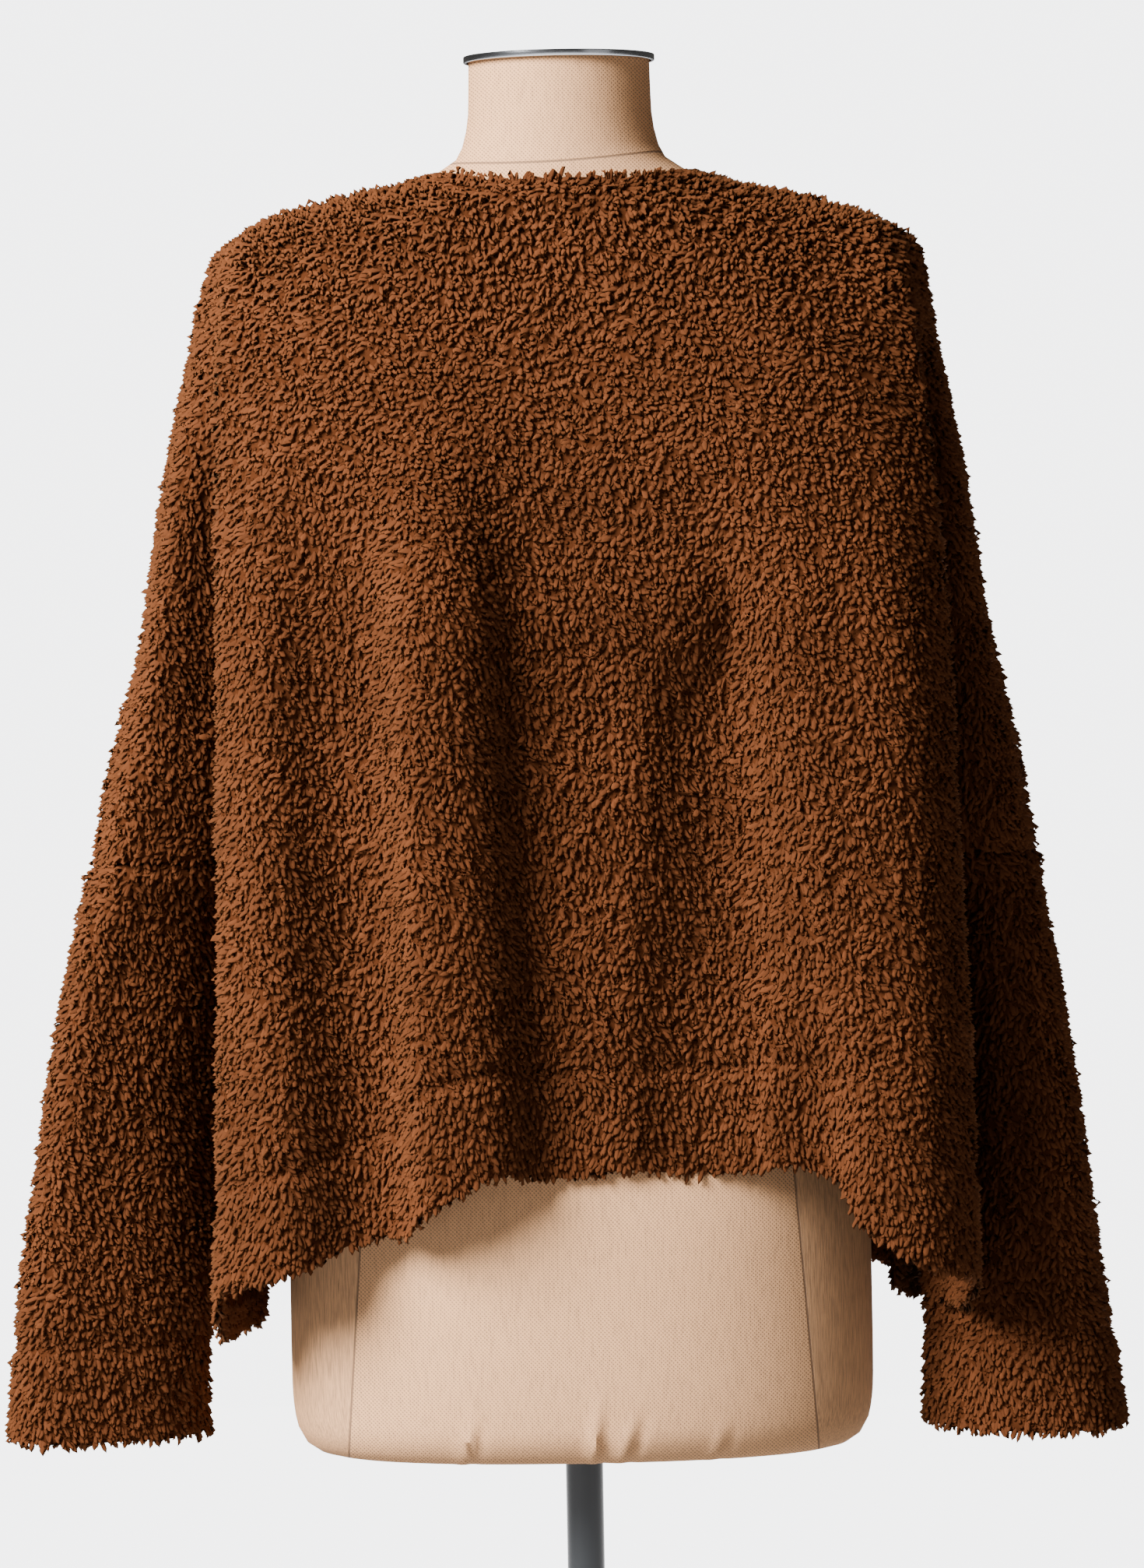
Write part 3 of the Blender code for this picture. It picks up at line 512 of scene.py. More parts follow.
def hermite(start, end, leaving, arriving, share):
    return (
        start * (2.0 * share ** 3 - 3.0 * share ** 2 + 1.0)
        + leaving * (share ** 3 - 2.0 * share ** 2 + share)
        + end * (3.0 * share ** 2 - 2.0 * share ** 3)
        + arriving * (share ** 3 - share ** 2)
    )


def along(points, places, closed=False, knots=None):
    """Points at the given places, counted in control points, on a smooth curve through them.
    The control points run along the first axis; knots say how far apart they lie."""
    count = len(points)
    places = np.asarray(places, float)
    first = np.floor(places).astype(int)
    if closed:
        share = (places - first).reshape((-1,) + (1,) * (points.ndim - 1))
        start = points[first % count]
        end = points[(first + 1) % count]
        leaving = 0.5 * (end - points[(first - 1) % count])
        arriving = 0.5 * (points[(first + 2) % count] - start)
        return hermite(start, end, leaving, arriving, share)
    first = np.clip(first, 0, count - 2)
    before = np.maximum(first - 1, 0)
    after = np.minimum(first + 2, count - 1)
    knots = np.arange(count, dtype=float) if knots is None else np.array(knots)
    shape = (-1,) + (1,) * (points.ndim - 1)
    span = knots[first + 1] - knots[first]
    from_before = (span / (knots[first + 1] - knots[before])).reshape(shape)
    to_after = (span / (knots[after] - knots[first])).reshape(shape)
    leaving = (points[first + 1] - points[before]) * from_before
    arriving = (points[after] - points[first]) * to_after
    share = (places - first).reshape(shape)
    return hermite(points[first], points[first + 1], leaving, arriving, share)


def read(table, key, value, places):
    """A table's values at many places, eased from row to row without overshoot."""
    rows = sorted(table, key=lambda row: getattr(row, key))
    at = np.array([getattr(row, key) for row in rows], float)
    values = np.array([getattr(row, value) for row in rows], float)
    rises = np.diff(values) / np.diff(at)
    slopes = np.empty(len(at))
    slopes[0] = rises[0]
    slopes[-1] = rises[-1]
    product = rises[:-1] * rises[1:]
    total = rises[:-1] + rises[1:]
    slopes[1:-1] = np.where(product > 0.0, 2.0 * product / np.where(total == 0.0, 1.0, total), 0.0)
    places = np.clip(np.asarray(places, float), at[0], at[-1])
    index = np.clip(np.searchsorted(at, places, side="right") - 1, 0, len(at) - 2)
    span = at[index + 1] - at[index]
    share = (places - at[index]) / span
    return hermite(values[index], values[index + 1], slopes[index] * span,
                   slopes[index + 1] * span, share)


def hem_heights(back, lines, across):
    """The hem's height for points on the given lines, at the given places across."""
    reach = np.abs(lines)
    heights = read(BACK_HEM if back else FRONT_HEM, "across", "height", across)
    for side in (-1, 1):
        corner = (BACK_HEM if back else FRONT_HEM)[0 if side < 0 else -1]
        low = (SIDE_HEM_BACK if back else SIDE_HEM_FRONT)[side]
        rows = [Hem(EDGE, corner.height), Hem(SIDE, low), Hem(CREASE, SEAM_HEM[side])]
        beyond = read(rows, "across", "height", np.minimum(reach, CREASE))
        heights = np.where((reach > EDGE) & (np.sign(lines) == side), beyond, heights)
    return heights


def share_down(levels):
    """How much of the way from the underarm to the hem lies above each level."""
    knots = np.interp(levels, np.arange(len(LEVEL_KNOTS)), LEVEL_KNOTS)
    return (knots - LEVEL_KNOTS[UNDERARM]) / (LEVEL_KNOTS[HEM] - LEVEL_KNOTS[UNDERARM])


def control_net(back):
    """The panel's control points, level by level and line by line."""
    net = np.zeros((len(PLAN), 2 * ARM + 1, 3))
    for level, plan in enumerate(PLAN):
        depth = (BACK if back else FRONT)[level]
        for side in (-1, 1):
            edge, fold, crease, arm = (
                (plan.edge_l, plan.side_l, plan.crease_l, plan.arm_l) if side < 0
                else (plan.edge_r, plan.side_r, plan.crease_r, plan.arm_r)
            )
            sleeve = arm - crease
            across = [0.0, plan.chest, plan.flank, edge, fold, crease,
                      crease + INNER_SHARE * sleeve, crease + OUTER_SHARE * sleeve, arm]
            for index, x in enumerate(across):
                if level == 0:
                    height = (NAPE_HEIGHTS if back else SEAM_HEIGHTS)[index]
                elif level == 1:
                    height = OVER_HEIGHTS[index]
                elif level <= UNDERARM:
                    height = LEVEL_HEIGHTS[level]
                else:
                    low = hem_heights(back, np.array([side * index]), np.array([side * x]))[0]
                    top = UNDERARM_HEIGHT
                    height = top + (low - top) * share_down(level)
                net[level, ARM + side * index] = (side * x, depth[index], height)
    return net


def fold_shift(folds, across, heights):
    """How far the standing folds push points out of the panel, and sideways."""
    out = np.zeros_like(across)
    aside = np.zeros_like(across)
    for fold in folds:
        middle = fold.low + (fold.high - fold.low) * (heights - FOLD_LOW) / (FOLD_HIGH - FOLD_LOW)
        strength = 1.0 - eased(fold.full, fold.starts, heights)
        rise = strength * np.exp(-((across - middle) / fold.width) ** 2)
        out += fold.out * rise
        aside += fold.lean * rise
    return out, aside


def panel_grid(back, lines, levels):
    """The panel's outer face for each level and line."""
    net = control_net(back)
    columns = along(np.moveaxis(net, 1, 0), lines + ARM)
    grid = along(np.moveaxis(columns, 1, 0), levels, knots=LEVEL_KNOTS)
    below = levels > UNDERARM
    across = grid[below, :, 0]
    low = hem_heights(back, np.broadcast_to(lines, across.shape), across)
    top = UNDERARM_HEIGHT
    grid[below, :, 2] = top + (low - top) * share_down(levels[below])[:, None]
    fade = 1.0 - eased(*FOLD_FADE, np.abs(lines))
    out, aside = fold_shift(BACK_FOLDS if back else FRONT_FOLDS, grid[..., 0], grid[..., 2])
    grid[..., 1] += (1.0 if back else -1.0) * out * fade
    grid[..., 0] += aside * fade
    return grid


def shared_grid(back, lines, levels):
    """A panel whose shoulder seams and side seams meet the other panel's."""
    grid = panel_grid(back, lines, levels)
    other = panel_grid(not back, lines, levels)
    gap = 0.5 * (other - grid)
    on_shoulder = (1.0 - eased(0.0, 0.5, levels))[:, None] * (np.abs(lines) >= FLANK)
    near = (1.0 - eased(0.0, 0.5, np.abs(np.abs(lines) - CREASE)))[None, :]
    on_side = near * (levels >= UNDERARM)[:, None]
    shoulder = gap[0] * on_shoulder[..., None]
    seam_columns = np.where(lines < 0.0, np.argmin(np.abs(lines + CREASE)), np.argmin(np.abs(lines - CREASE)))
    side = gap[:, seam_columns] * on_side[..., None]
    return grid + shoulder + side


def sleeve_grid(side, turns, levels):
    """A lower sleeve; turns run from the inner line over the front and back again."""
    nets = []
    for row in SLEEVES:
        inner, outer = (row.inner_l, row.outer_l) if side < 0 else (row.inner_r, row.outer_r)
        width = outer - inner
        centre = 0.5 * (row.front + row.back)
        shape = [
            (inner, centre),
            (inner + TUBE_INNER_SHARE * width, row.front),
            (inner + TUBE_OUTER_SHARE * width, row.front + row.dent),
            (outer, centre),
            (inner + TUBE_OUTER_SHARE * width, row.back - row.dent),
            (inner + TUBE_INNER_SHARE * width, row.back),
        ]
        nets.append([(side * x, y, row.height) for x, y in shape])
    rings = along(np.moveaxis(np.array(nets), 1, 0), turns, closed=True)
    grid = along(np.moveaxis(rings, 1, 0), levels)
    around = np.where(turns <= ARM - CREASE, CREASE + turns, 2 * ARM - CREASE - turns)
    top = np.array([float(UNDERARM)])
    front = shared_grid(False, side * around, top)[0]
    behind = shared_grid(True, side * around, top)[0]
    meeting = np.where((turns <= ARM - CREASE)[:, None], front, behind)
    grid += (meeting - grid[0]) * (1.0 - eased(0.0, 1.0, levels))[:, None, None]
    return grid


def settle(grid, form_tree, clearance):
    """Lifts points that come closer to the form than the given clearance."""
    for row, column in np.ndindex(grid.shape[:2]):
        spot = Vector(grid[row, column])
        rest, facing, _face, _distance = form_tree.find_nearest(spot)
        away = (spot - rest).dot(facing)
        if away < clearance:
            grid[row, column] += np.array(facing) * (clearance - away)


def form_angles():
    """Angles round the dress form, closer together at its front."""
    angle = 2.0 * math.pi * np.arange(FORM_SIDES) / FORM_SIDES
    return angle - FORM_FRONT_FINER * np.cos(angle)


def form_ring(height):
    """The dress form's outline at a height, a front and a back half of their own depth."""
    half_width, front, back, squareness = (
        float(read(FORM, "height", column, height)) for column in Section._fields[1:]
    )
    power = 2.0 / squareness
    middle = front + FORM_BALANCE * (back - front)
    cosine = np.cos(form_angles())
    sine = np.sin(form_angles())
    x = np.copysign(half_width * np.abs(cosine) ** power, cosine)
    depth = np.where(sine > 0.0, back, front) - middle
    y = middle + depth * np.abs(sine) ** power
    sideways = (np.abs(x) - BUST_OUT) / BUST_SPREAD
    upwards = (height - BUST_HEIGHT) / BUST_TALL
    y -= np.where(sine < 0.0, BUST_DEPTH * np.exp(-sideways ** 2 - upwards ** 2), 0.0)
    return np.stack([x, y, np.full(FORM_SIDES, height)], axis=1)


# One cloth piece's backing as a grid of points: its outward normals, which of its cells are
# there, how far each point lies from the hem or cuff edge, the neck edge and the elbow seam,
# and which rows are turned up inside
Surface = namedtuple("Surface", "points normals kept edge top elbow turned")
CLOTH = {}
PANELS = ("front", "back")
SIDES = {"sleeve_left": -1, "sleeve_right": 1}


def turn_height(name):
    """How high a piece's turned part reaches."""
    return HEM_TURN if name in PANELS else CUFF_TURN


def sewn_normals(grids, kept):
    """Normals of the whole garment, its seams closed, read back at each grid's points."""
    garment = bmesh.new()
    for name, grid in grids.items():
        add_grid(garment, grid, kept[name])
    bmesh.ops.remove_doubles(garment, verts=garment.verts, dist=WELD)
    bmesh.ops.recalc_face_normals(garment, faces=garment.faces)
    chest = min(garment.faces, key=lambda face: face.calc_center_median().y)
    if chest.normal.y > 0.0:
        bmesh.ops.reverse_faces(garment, faces=garment.faces)
    garment.normal_update()
    tree = KDTree(len(garment.verts))
    for index, vert in enumerate(garment.verts):
        tree.insert(vert.co, index)
    tree.balance()
    garment.verts.ensure_lookup_table()
    normals = {}
    for name, grid in grids.items():
        found = [garment.verts[tree.find(Vector(spot))[1]].normal for spot in grid.reshape(-1, 3)]
        normals[name] = np.array(found, float).reshape(grid.shape)
    garment.free()
    return normals


def add_grid(mesh, points, kept):
    """A create_grid sheet whose points take the given places, without the cells left out."""
    rows = points.shape[0] - 1
    columns = points.shape[1] - 1
    made = bmesh.ops.create_grid(mesh, x_segments=columns, y_segments=rows, size=1.0)["verts"]
    places = {}
    for vert in made:
        column = round((vert.co.x + 1.0) / 2.0 * columns)
        row = round((1.0 - vert.co.y) / 2.0 * rows)
        places[vert] = (row, column)
    spare = []
    for face in {face for vert in made for face in vert.link_faces}:
        row = min(places[vert][0] for vert in face.verts)
        column = min(places[vert][1] for vert in face.verts)
        if not kept[row, column]:
            spare.append(face)
    for vert in made:
        vert.co = points[places[vert]]
    bmesh.ops.delete(mesh, geom=spare, context="FACES")


def edge_distance(points):
    """How far each point lies above the last row, along its own column."""
    lengths = np.linalg.norm(np.diff(points, axis=0), axis=2)
    above = np.cumsum(lengths[::-1], axis=0)[::-1]
    return np.vstack([above, np.zeros((1, points.shape[1]))])


def wander(points, scale, shift=0.0):
    """Smooth noise from -1 to 1 at many points."""
    return np.array([noise.noise(Vector(spot) * scale + Vector((shift, shift, shift))) for spot in points])


def relief(name, points, lines, edge, elbow):
    """How far the backing rises at its seams, stitch lines and smaller creases."""
    turn = turn_height(name)
    rise = STITCH_DEPTH * bump(edge, turn, STITCH_WIDTH)
    rise += TURN_SWELL * (1.0 - eased(turn - 0.012, turn, edge))
    rise += ELBOW_SWELL * bump(elbow, ELBOW_SWELL_UP, ELBOW_SWELL_WIDTH)
    rise += ELBOW_DIP * bump(elbow, 0.0, STITCH_WIDTH)
    flat = points.reshape(-1, 3)
    rise += (UNEVEN * wander(flat, UNEVEN_SCALE)).reshape(rise.shape)
    if name in PANELS:
        folds = FINE_FRONT_FOLDS if name == "front" else FINE_BACK_FOLDS
        height = points[..., 2]
        rise += fold_shift(folds, points[..., 0], height)[0]
        reach = np.abs(lines)[None, :]
        open_share = eased(*CREASE_STARTS, height) * eased(*CREASE_ENDS, height)
        rise -= CREASE_DEEPER * bump(reach, CREASE, CREASE_WIDTH) * open_share
        rise += ARM_ROUNDING * bump(reach, OUTER - 0.3, 0.8) * eased(*ARM_ROUNDING_STARTS, height)
        puff = bump(height, ELBOW_PUFF_HEIGHT, ELBOW_PUFF_TALL)
        rise += ELBOW_PUFF * puff * eased(CREASE, INNER, reach)
    return rise


def arm_turn(side, share, heights):
    """How far back a sleeve's points move: the left one's front faces a little right, and the
    right one's stands forward. The share runs from 0 at the inner line to 1 at the outer line."""
    if side < 0:
        shift = ARM_TURN * (1.0 - eased(0.08, 0.85, share)) - ARM_FORWARD[side] * bump(share, 0.78, 0.22)
    else:
        shift = -ARM_FORWARD[side] * eased(0.10, 0.60, share) * (1.0 - eased(0.80, 1.0, share))
    return shift * eased(*ARM_TURN_STARTS, heights)


def grid_facing(points, old):
    """Unit normals of a grid of points, on the same side as the old ones."""
    normals = np.cross(np.gradient(points, axis=1), np.gradient(points, axis=0))
    size = np.linalg.norm(normals, axis=2, keepdims=True)
    normals = np.where(size > 1e-12, normals / np.maximum(size, 1e-12), old)
    normals *= np.where(np.sum(normals * old, axis=2, keepdims=True) < 0.0, -1.0, 1.0)
    blended = normals + NORMAL_BLEND * old
    return blended / np.linalg.norm(blended, axis=2, keepdims=True)


def turned_rows(points, normals, edge, turn):
    """Rows of the part that is turned up inside, from the folded edge to its stitch line."""
    rows = []
    directions = []
    for up, inset in ((-0.0008, 0.5), (0.0004, 1.0), (0.3 * turn, 1.0), (0.65 * turn, 1.0), (turn, 0.8)):
        row = np.empty_like(points[0])
        facing = np.empty_like(row)
        for column in range(points.shape[1]):
            at = edge[::-1, column]
            for axis in range(3):
                row[column, axis] = np.interp(max(up, 0.0), at, points[::-1, column, axis])
                facing[column, axis] = np.interp(max(up, 0.0), at, normals[::-1, column, axis])
        row -= facing * TURN_GAP * inset
        row[:, 2] += min(up, 0.0)
        rows.append(row)
        directions.append(-facing if up > 0.0 else np.tile([0.0, 0.0, -1.0], (len(facing), 1)))
    return np.array(rows), np.array(directions)


def shape_panel(name, points, lines, levels, edge):
    """A body panel's raised shoulders, the low corners of its neck, and its hem's sags."""
    near_top = (1.0 - eased(0.0, 0.5, levels))[:, None]
    drops = np.where(lines < 0.0, FLANK_DROP[-1], FLANK_DROP[1])
    drops = drops * bump(np.abs(lines), FLANK, FLANK_DROP_WIDTH)
    on_shoulder = SHOULDER_RAISE * bump(np.abs(points[..., 0]), *SHOULDER_CREST)
    points[..., 2] += near_top * (on_shoulder - drops)
    near_hem = (1.0 - eased(0.0, HEM_SAG_REACH, edge)) * (np.abs(lines)[None, :] <= CREASE)
    for sag in HEM_SAGS[name]:
        points[..., 2] -= sag.drop * bump(points[..., 0], sag.across, sag.width) * near_hem


def shape_sleeve(side, points, normals, turns, edge):
    """A lower sleeve's low cuff front, its turn with the upper sleeve, and its tucks."""
    facing_front = np.clip(-normals[..., 1], 0.0, 1.0)
    points[..., 2] -= CUFF_DROP * facing_front * (1.0 - eased(0.0, CUFF_DROP_REACH, edge))
    half = ARM - CREASE
    share = np.where(turns <= half, turns, 2 * half - turns) / half
    front_half = np.where(turns <= half, 1.0, 1.0 - eased(0.0, 0.4, share))
    points[..., 1] += arm_turn(side, share[None, :], points[..., 2]) * front_half
    height = points[..., 2]
    inner_half = (1.0 - eased(*TUCKED_SHARE, share))[None, :]
    if side < 0:
        reach = eased(*SLEEVE_TUCK_STARTS, height) * eased(*SLEEVE_TUCK_ENDS, height)
        points[..., 0] += SLEEVE_TUCK * reach * inner_half
    else:
        points[..., 0] -= CUFF_TUCK * eased(*CUFF_TUCK_STARTS, height) * inner_half


def turn_upper_sleeves(points, lines):
    """Turns the upper sleeves' fronts as far as the lower sleeves'."""
    share = np.clip((np.abs(lines) - CREASE) / (ARM - CREASE), 0.0, 1.0)[None, :]
    for side in SIDES.values():
        here = (np.sign(lines) == side)[None, :] * eased(0.0, 0.2, share)
        points[..., 1] += arm_turn(side, share, points[..., 2]) * here


def build_surfaces():
    """The four pieces' backings, in place under the curls' outer face."""
    form_tree = BVHTree.FromBMesh(form_body())
    half = steps(COLUMN_COUNTS)
    lines = mirrored(half)
    levels = np.minimum(steps(ROW_COUNTS), HEM - EDGE_BARE / HEM_LEVEL_LENGTH)
    front_turns = half[half >= CREASE] - CREASE
    turns = np.concatenate([front_turns, 2 * (ARM - CREASE) - front_turns[-2::-1]])
    tube_levels = np.minimum(steps(SLEEVE_COUNTS), CUFF - EDGE_BARE / CUFF_LEVEL_LENGTH)
    grids = {name: shared_grid(name == "back", lines, levels) for name in PANELS}
    grids.update({name: sleeve_grid(side, turns, tube_levels) for name, side in SIDES.items()})
    on_body = ~((middles(levels)[:, None] > UNDERARM) & (np.abs(middles(lines))[None, :] > CREASE))
    on_tube = np.ones((len(tube_levels) - 1, len(turns) - 1), bool)
    kept = {name: on_body if name in PANELS else on_tube for name in grids}
    for name in PANELS:
        settle(grids[name], form_tree, FORM_CLEARANCE)
    for name, side in SIDES.items():
        grids[name][0] = meeting_row(grids, lines, levels, side, turns)
    normals = sewn_normals(grids, kept)
    for name, grid in grids.items():
        edge = edge_distance(grid)
        elbow = grid[..., 2] - UNDERARM_HEIGHT
        top = np.full(elbow.shape, FAR)
        if name in PANELS:
            on_sleeve = np.abs(lines)[None, :] > CREASE
            elbow = np.where(on_sleeve, elbow, FAR)
            edge = np.where(on_sleeve, FAR, edge)
            top = np.where(np.abs(lines)[None, :] < FLANK, edge_distance(grid[::-1])[::-1], FAR)
        lift = relief(name, grid, lines, edge, elbow) - BACKING_DEPTH
        points = grid + normals[name] * lift[..., None]
        if name in PANELS:
            shape_panel(name, points, lines, levels, edge)
            settle(points, form_tree, BACKING_CLEARANCE)
        else:
            shape_sleeve(SIDES[name], points, normals[name], turns, edge)
        if name == "front":
            turn_upper_sleeves(points, lines)
        facing = grid_facing(points, normals[name])
        inner, inner_normals = turned_rows(points, facing, edge_distance(points), turn_height(name))
        size = inner.shape[:2]
        CLOTH[name] = Surface(
            points=np.concatenate([points, inner]),
            normals=np.concatenate([facing, inner_normals]),
            kept=np.concatenate([kept[name], np.repeat(kept[name][-1:], size[0], axis=0)]),
            edge=np.concatenate([edge, np.zeros(size)]),
            top=np.concatenate([top, np.full(size, FAR)]),
            elbow=np.concatenate([elbow, np.full(size, FAR)]),
            turned=np.arange(len(points) + size[0]) >= len(points),
        )


def meeting_row(grids, lines, levels, side, turns):
    """The elbow seam's points, read from the panels above it after they were settled."""
    row = int(np.argmin(np.abs(levels - UNDERARM)))
    points = []
    for turn in turns:
        back = turn > ARM - CREASE
        line = side * (CREASE + turn if not back else 2 * ARM - CREASE - turn)
        column = int(np.argmin(np.abs(lines - line)))
        points.append(grids["back" if back else "front"][row, column])
    return np.array(points)


def plain_mesh(name, body):
    mesh = bpy.data.meshes.new(name)
    body.to_mesh(mesh)
    body.free()
    mesh.shade_smooth()
    return mesh


def add_piece(name, mesh, finish, replaced=()):
    """Puts a finished mesh in the scene, riding on the one body."""
    item = bpy.data.objects.new(name, mesh)
    mesh.materials.append(finish)
    bpy.context.scene.collection.objects.link(item)
    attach(item, BODY)
    if replaced:
        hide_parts(*replaced)
    return item


def backing_mesh(name):
    surface = CLOTH[name]
    body = bmesh.new()
    add_grid(body, surface.points, surface.kept)
    bmesh.ops.remove_doubles(body, verts=body.verts, dist=WELD)
    bmesh.ops.recalc_face_normals(body, faces=body.faces)
    outwards = 1.0 if name == "back" else -1.0
    outer = max(body.faces, key=lambda face: outwards * face.calc_center_median().y)
    if outer.normal.y * outwards < 0.0:
        bmesh.ops.reverse_faces(body, faces=body.faces)
    body.normal_update()
    inner = bmesh.ops.extrude_face_region(body, geom=body.faces[:], use_keep_orig=True)["geom"]
    body.normal_update()
    moves = {vert: vert.normal.copy() for vert in inner if isinstance(vert, bmesh.types.BMVert)}
    for vert, facing in moves.items():
        vert.co -= facing * BACKING_THICKNESS
    bmesh.ops.recalc_face_normals(body, faces=body.faces)
    return plain_mesh(name + "_cloth", body)


def curl_template():
    """One curl: a three-sided cone, cut once round, as rings of (height, angle) and faces."""
    body = bmesh.new()
    bmesh.ops.create_cone(body, segments=3, radius1=1.0, radius2=0.0, depth=1.0, cap_ends=False)
    geometry = body.verts[:] + body.edges[:] + body.faces[:]
    cut = 0.5 - (1.0 - CURL_BELLY)
    bmesh.ops.bisect_plane(body, geom=geometry, dist=1e-6, plane_co=(0, 0, cut), plane_no=(0, 0, 1))
    bmesh.ops.triangulate(body, faces=body.faces[:])
    body.verts.index_update()
    heights = np.array([vert.co.z + 0.5 for vert in body.verts])
    angles = np.array([math.atan2(vert.co.y, vert.co.x) for vert in body.verts])
    faces = np.array([[vert.index for vert in face.verts] for face in body.faces])
    body.free()
    return heights, angles, faces


Curls = namedtuple("Curls", "root normal comb length radius lift lean hook tone")


def scatter(surface, pitch, cells, rng):
    """Roots of curls, spread evenly over the kept cells of a backing."""
    points = surface.points
    corners = [points[:-1, :-1], points[:-1, 1:], points[1:, :-1], points[1:, 1:]]
    across = 0.5 * (corners[1] - corners[0] + corners[3] - corners[2])
    down = 0.5 * (corners[2] - corners[0] + corners[3] - corners[1])
    area = np.linalg.norm(np.cross(across, down), axis=2)
    rows, columns = np.nonzero(cells)
    density = 1.0 + NECK_DENSITY * (surface.top[rows, columns] < NECK_RIM)
    counts = np.floor(density * area[rows, columns] / pitch ** 2 + rng.random(len(rows))).astype(int)
    rows = np.repeat(rows, counts)
    columns = np.repeat(columns, counts)
    index = np.arange(len(rows))
    jitter = (rng.random((2, len(rows))) - 0.5) * SCATTER_JITTER
    u, v = ((index * step + shift) % 1.0 for step, shift in zip(SCATTER_STEPS, jitter))
    return rows, columns, u, v


def blend_cells(values, rows, columns, u, v):
    """Values between a grid's points."""
    if values.ndim == 3:
        u = u[:, None]
        v = v[:, None]
    top = values[rows, columns] * (1.0 - u) + values[rows, columns + 1] * u
    low = values[rows + 1, columns] * (1.0 - u) + values[rows + 1, columns + 1] * u
    return top * (1.0 - v) + low * v


def unit(vectors):
    return vectors / np.maximum(np.linalg.norm(vectors, axis=1, keepdims=True), 1e-12)


def grow_curls(name, cells, settings, seed):
    """The curls that stand on the given cells of a backing."""
    surface = CLOTH[name]
    rng = np.random.default_rng(seed)
    pitch = settings.pitch * (BACK_PITCH if name == "back" else 1.0)
    rows, columns, u, v = scatter(surface, pitch, cells, rng)
    root = blend_cells(surface.points, rows, columns, u, v)
    normal = unit(blend_cells(surface.normals, rows, columns, u, v))
    edge = blend_cells(surface.edge, rows, columns, u, v)
    elbow = np.abs(blend_cells(surface.elbow, rows, columns, u, v))
    inside = surface.turned[rows]
    count = len(root)
    turn = turn_height(name)
    on_hem = 1.0 - eased(turn - 0.010, turn, edge)
    near_edge = 1.0 - eased(0.004, 0.030, edge)
    at_neck = 1.0 - eased(0.001, 0.010, blend_cells(surface.top, rows, columns, u, v))
    in_groove = bump(edge, turn, 0.0045) + 0.7 * bump(elbow, 0.0, 0.004)
    forward = -1.0 if name != "back" else 1.0
    down = np.tile([0.0, forward * 0.25, -1.0], (count, 1))
    down = unit(down - normal * np.sum(down * normal, axis=1, keepdims=True))
    side = np.cross(normal, down)
    swirl = wander(root, SWIRL_SCALE, 3.0) + 0.6 * wander(root, 2.3 * SWIRL_SCALE, 9.0)
    on_yoke = eased(*YOKE, root[:, 2])
    loose = 1.0 - 0.40 * on_hem - 0.30 * on_yoke
    angle = loose * (SWIRL * swirl + SCATTERED * rng.normal(size=count))
    standing = at_neck * (1.0 - eased(*NECK_SIDES, np.abs(root[:, 0])))
    angle += standing * np.where(rng.random(count) < UP_AT_NECK, math.pi, 0.0)
    comb = down * np.cos(angle)[:, None] + side * np.sin(angle)[:, None]
    clump = wander(root, CLUMP_SCALE, 5.0)
    length = settings.length * (1.0 + 0.15 * rng.normal(size=count) + 0.20 * clump)
    longer = settings.hem_length * (1.0 + 0.16 * rng.normal(size=count) + 0.15 * clump)
    length = length * (1.0 - on_hem) + longer * on_hem
    length *= (1.0 + YOKE_LONGER * on_yoke) * (1.0 - 0.32 * np.clip(in_groove, 0.0, 1.0))
    length = np.clip(length, 0.45 * settings.length, 1.5 * settings.hem_length)
    length = np.where(inside, 0.6 * settings.length, length)
    radius = settings.radius * pitch / settings.pitch * (1.0 + 0.16 * rng.normal(size=count))
    radius = np.clip(radius, 0.6 * settings.radius, 1.5 * settings.radius)
    lift = CURL_LIFT * (1.0 + 0.18 * rng.normal(size=count)) * (1.0 - 0.16 * on_hem - 0.10 * near_edge)
    lift *= np.where(rng.random(count) < STRAGGLERS, 1.30, 1.0) * (1.0 - 0.35 * (at_neck - standing))
    lean = CURL_LEAN * (1.0 + 0.25 * rng.normal(size=count)) * (1.0 + 0.12 * on_hem) * (1.0 - 0.35 * at_neck)
    hook = 0.36 * rng.normal(size=count) * (1.0 - 0.45 * on_hem)
    tone = np.clip(0.5 + 0.20 * rng.normal(size=count) + 0.16 * clump, 0.0, 1.0)
    return Curls(root, normal, comb, length, radius, lift, lean, hook, tone)


def add_attribute(mesh, name, kind, field, values):
    """A value or a vector at each vertex."""
    data = mesh.attributes.new(name, kind, "POINT").data
    data.foreach_set(field, values.reshape(-1).astype(np.float32))


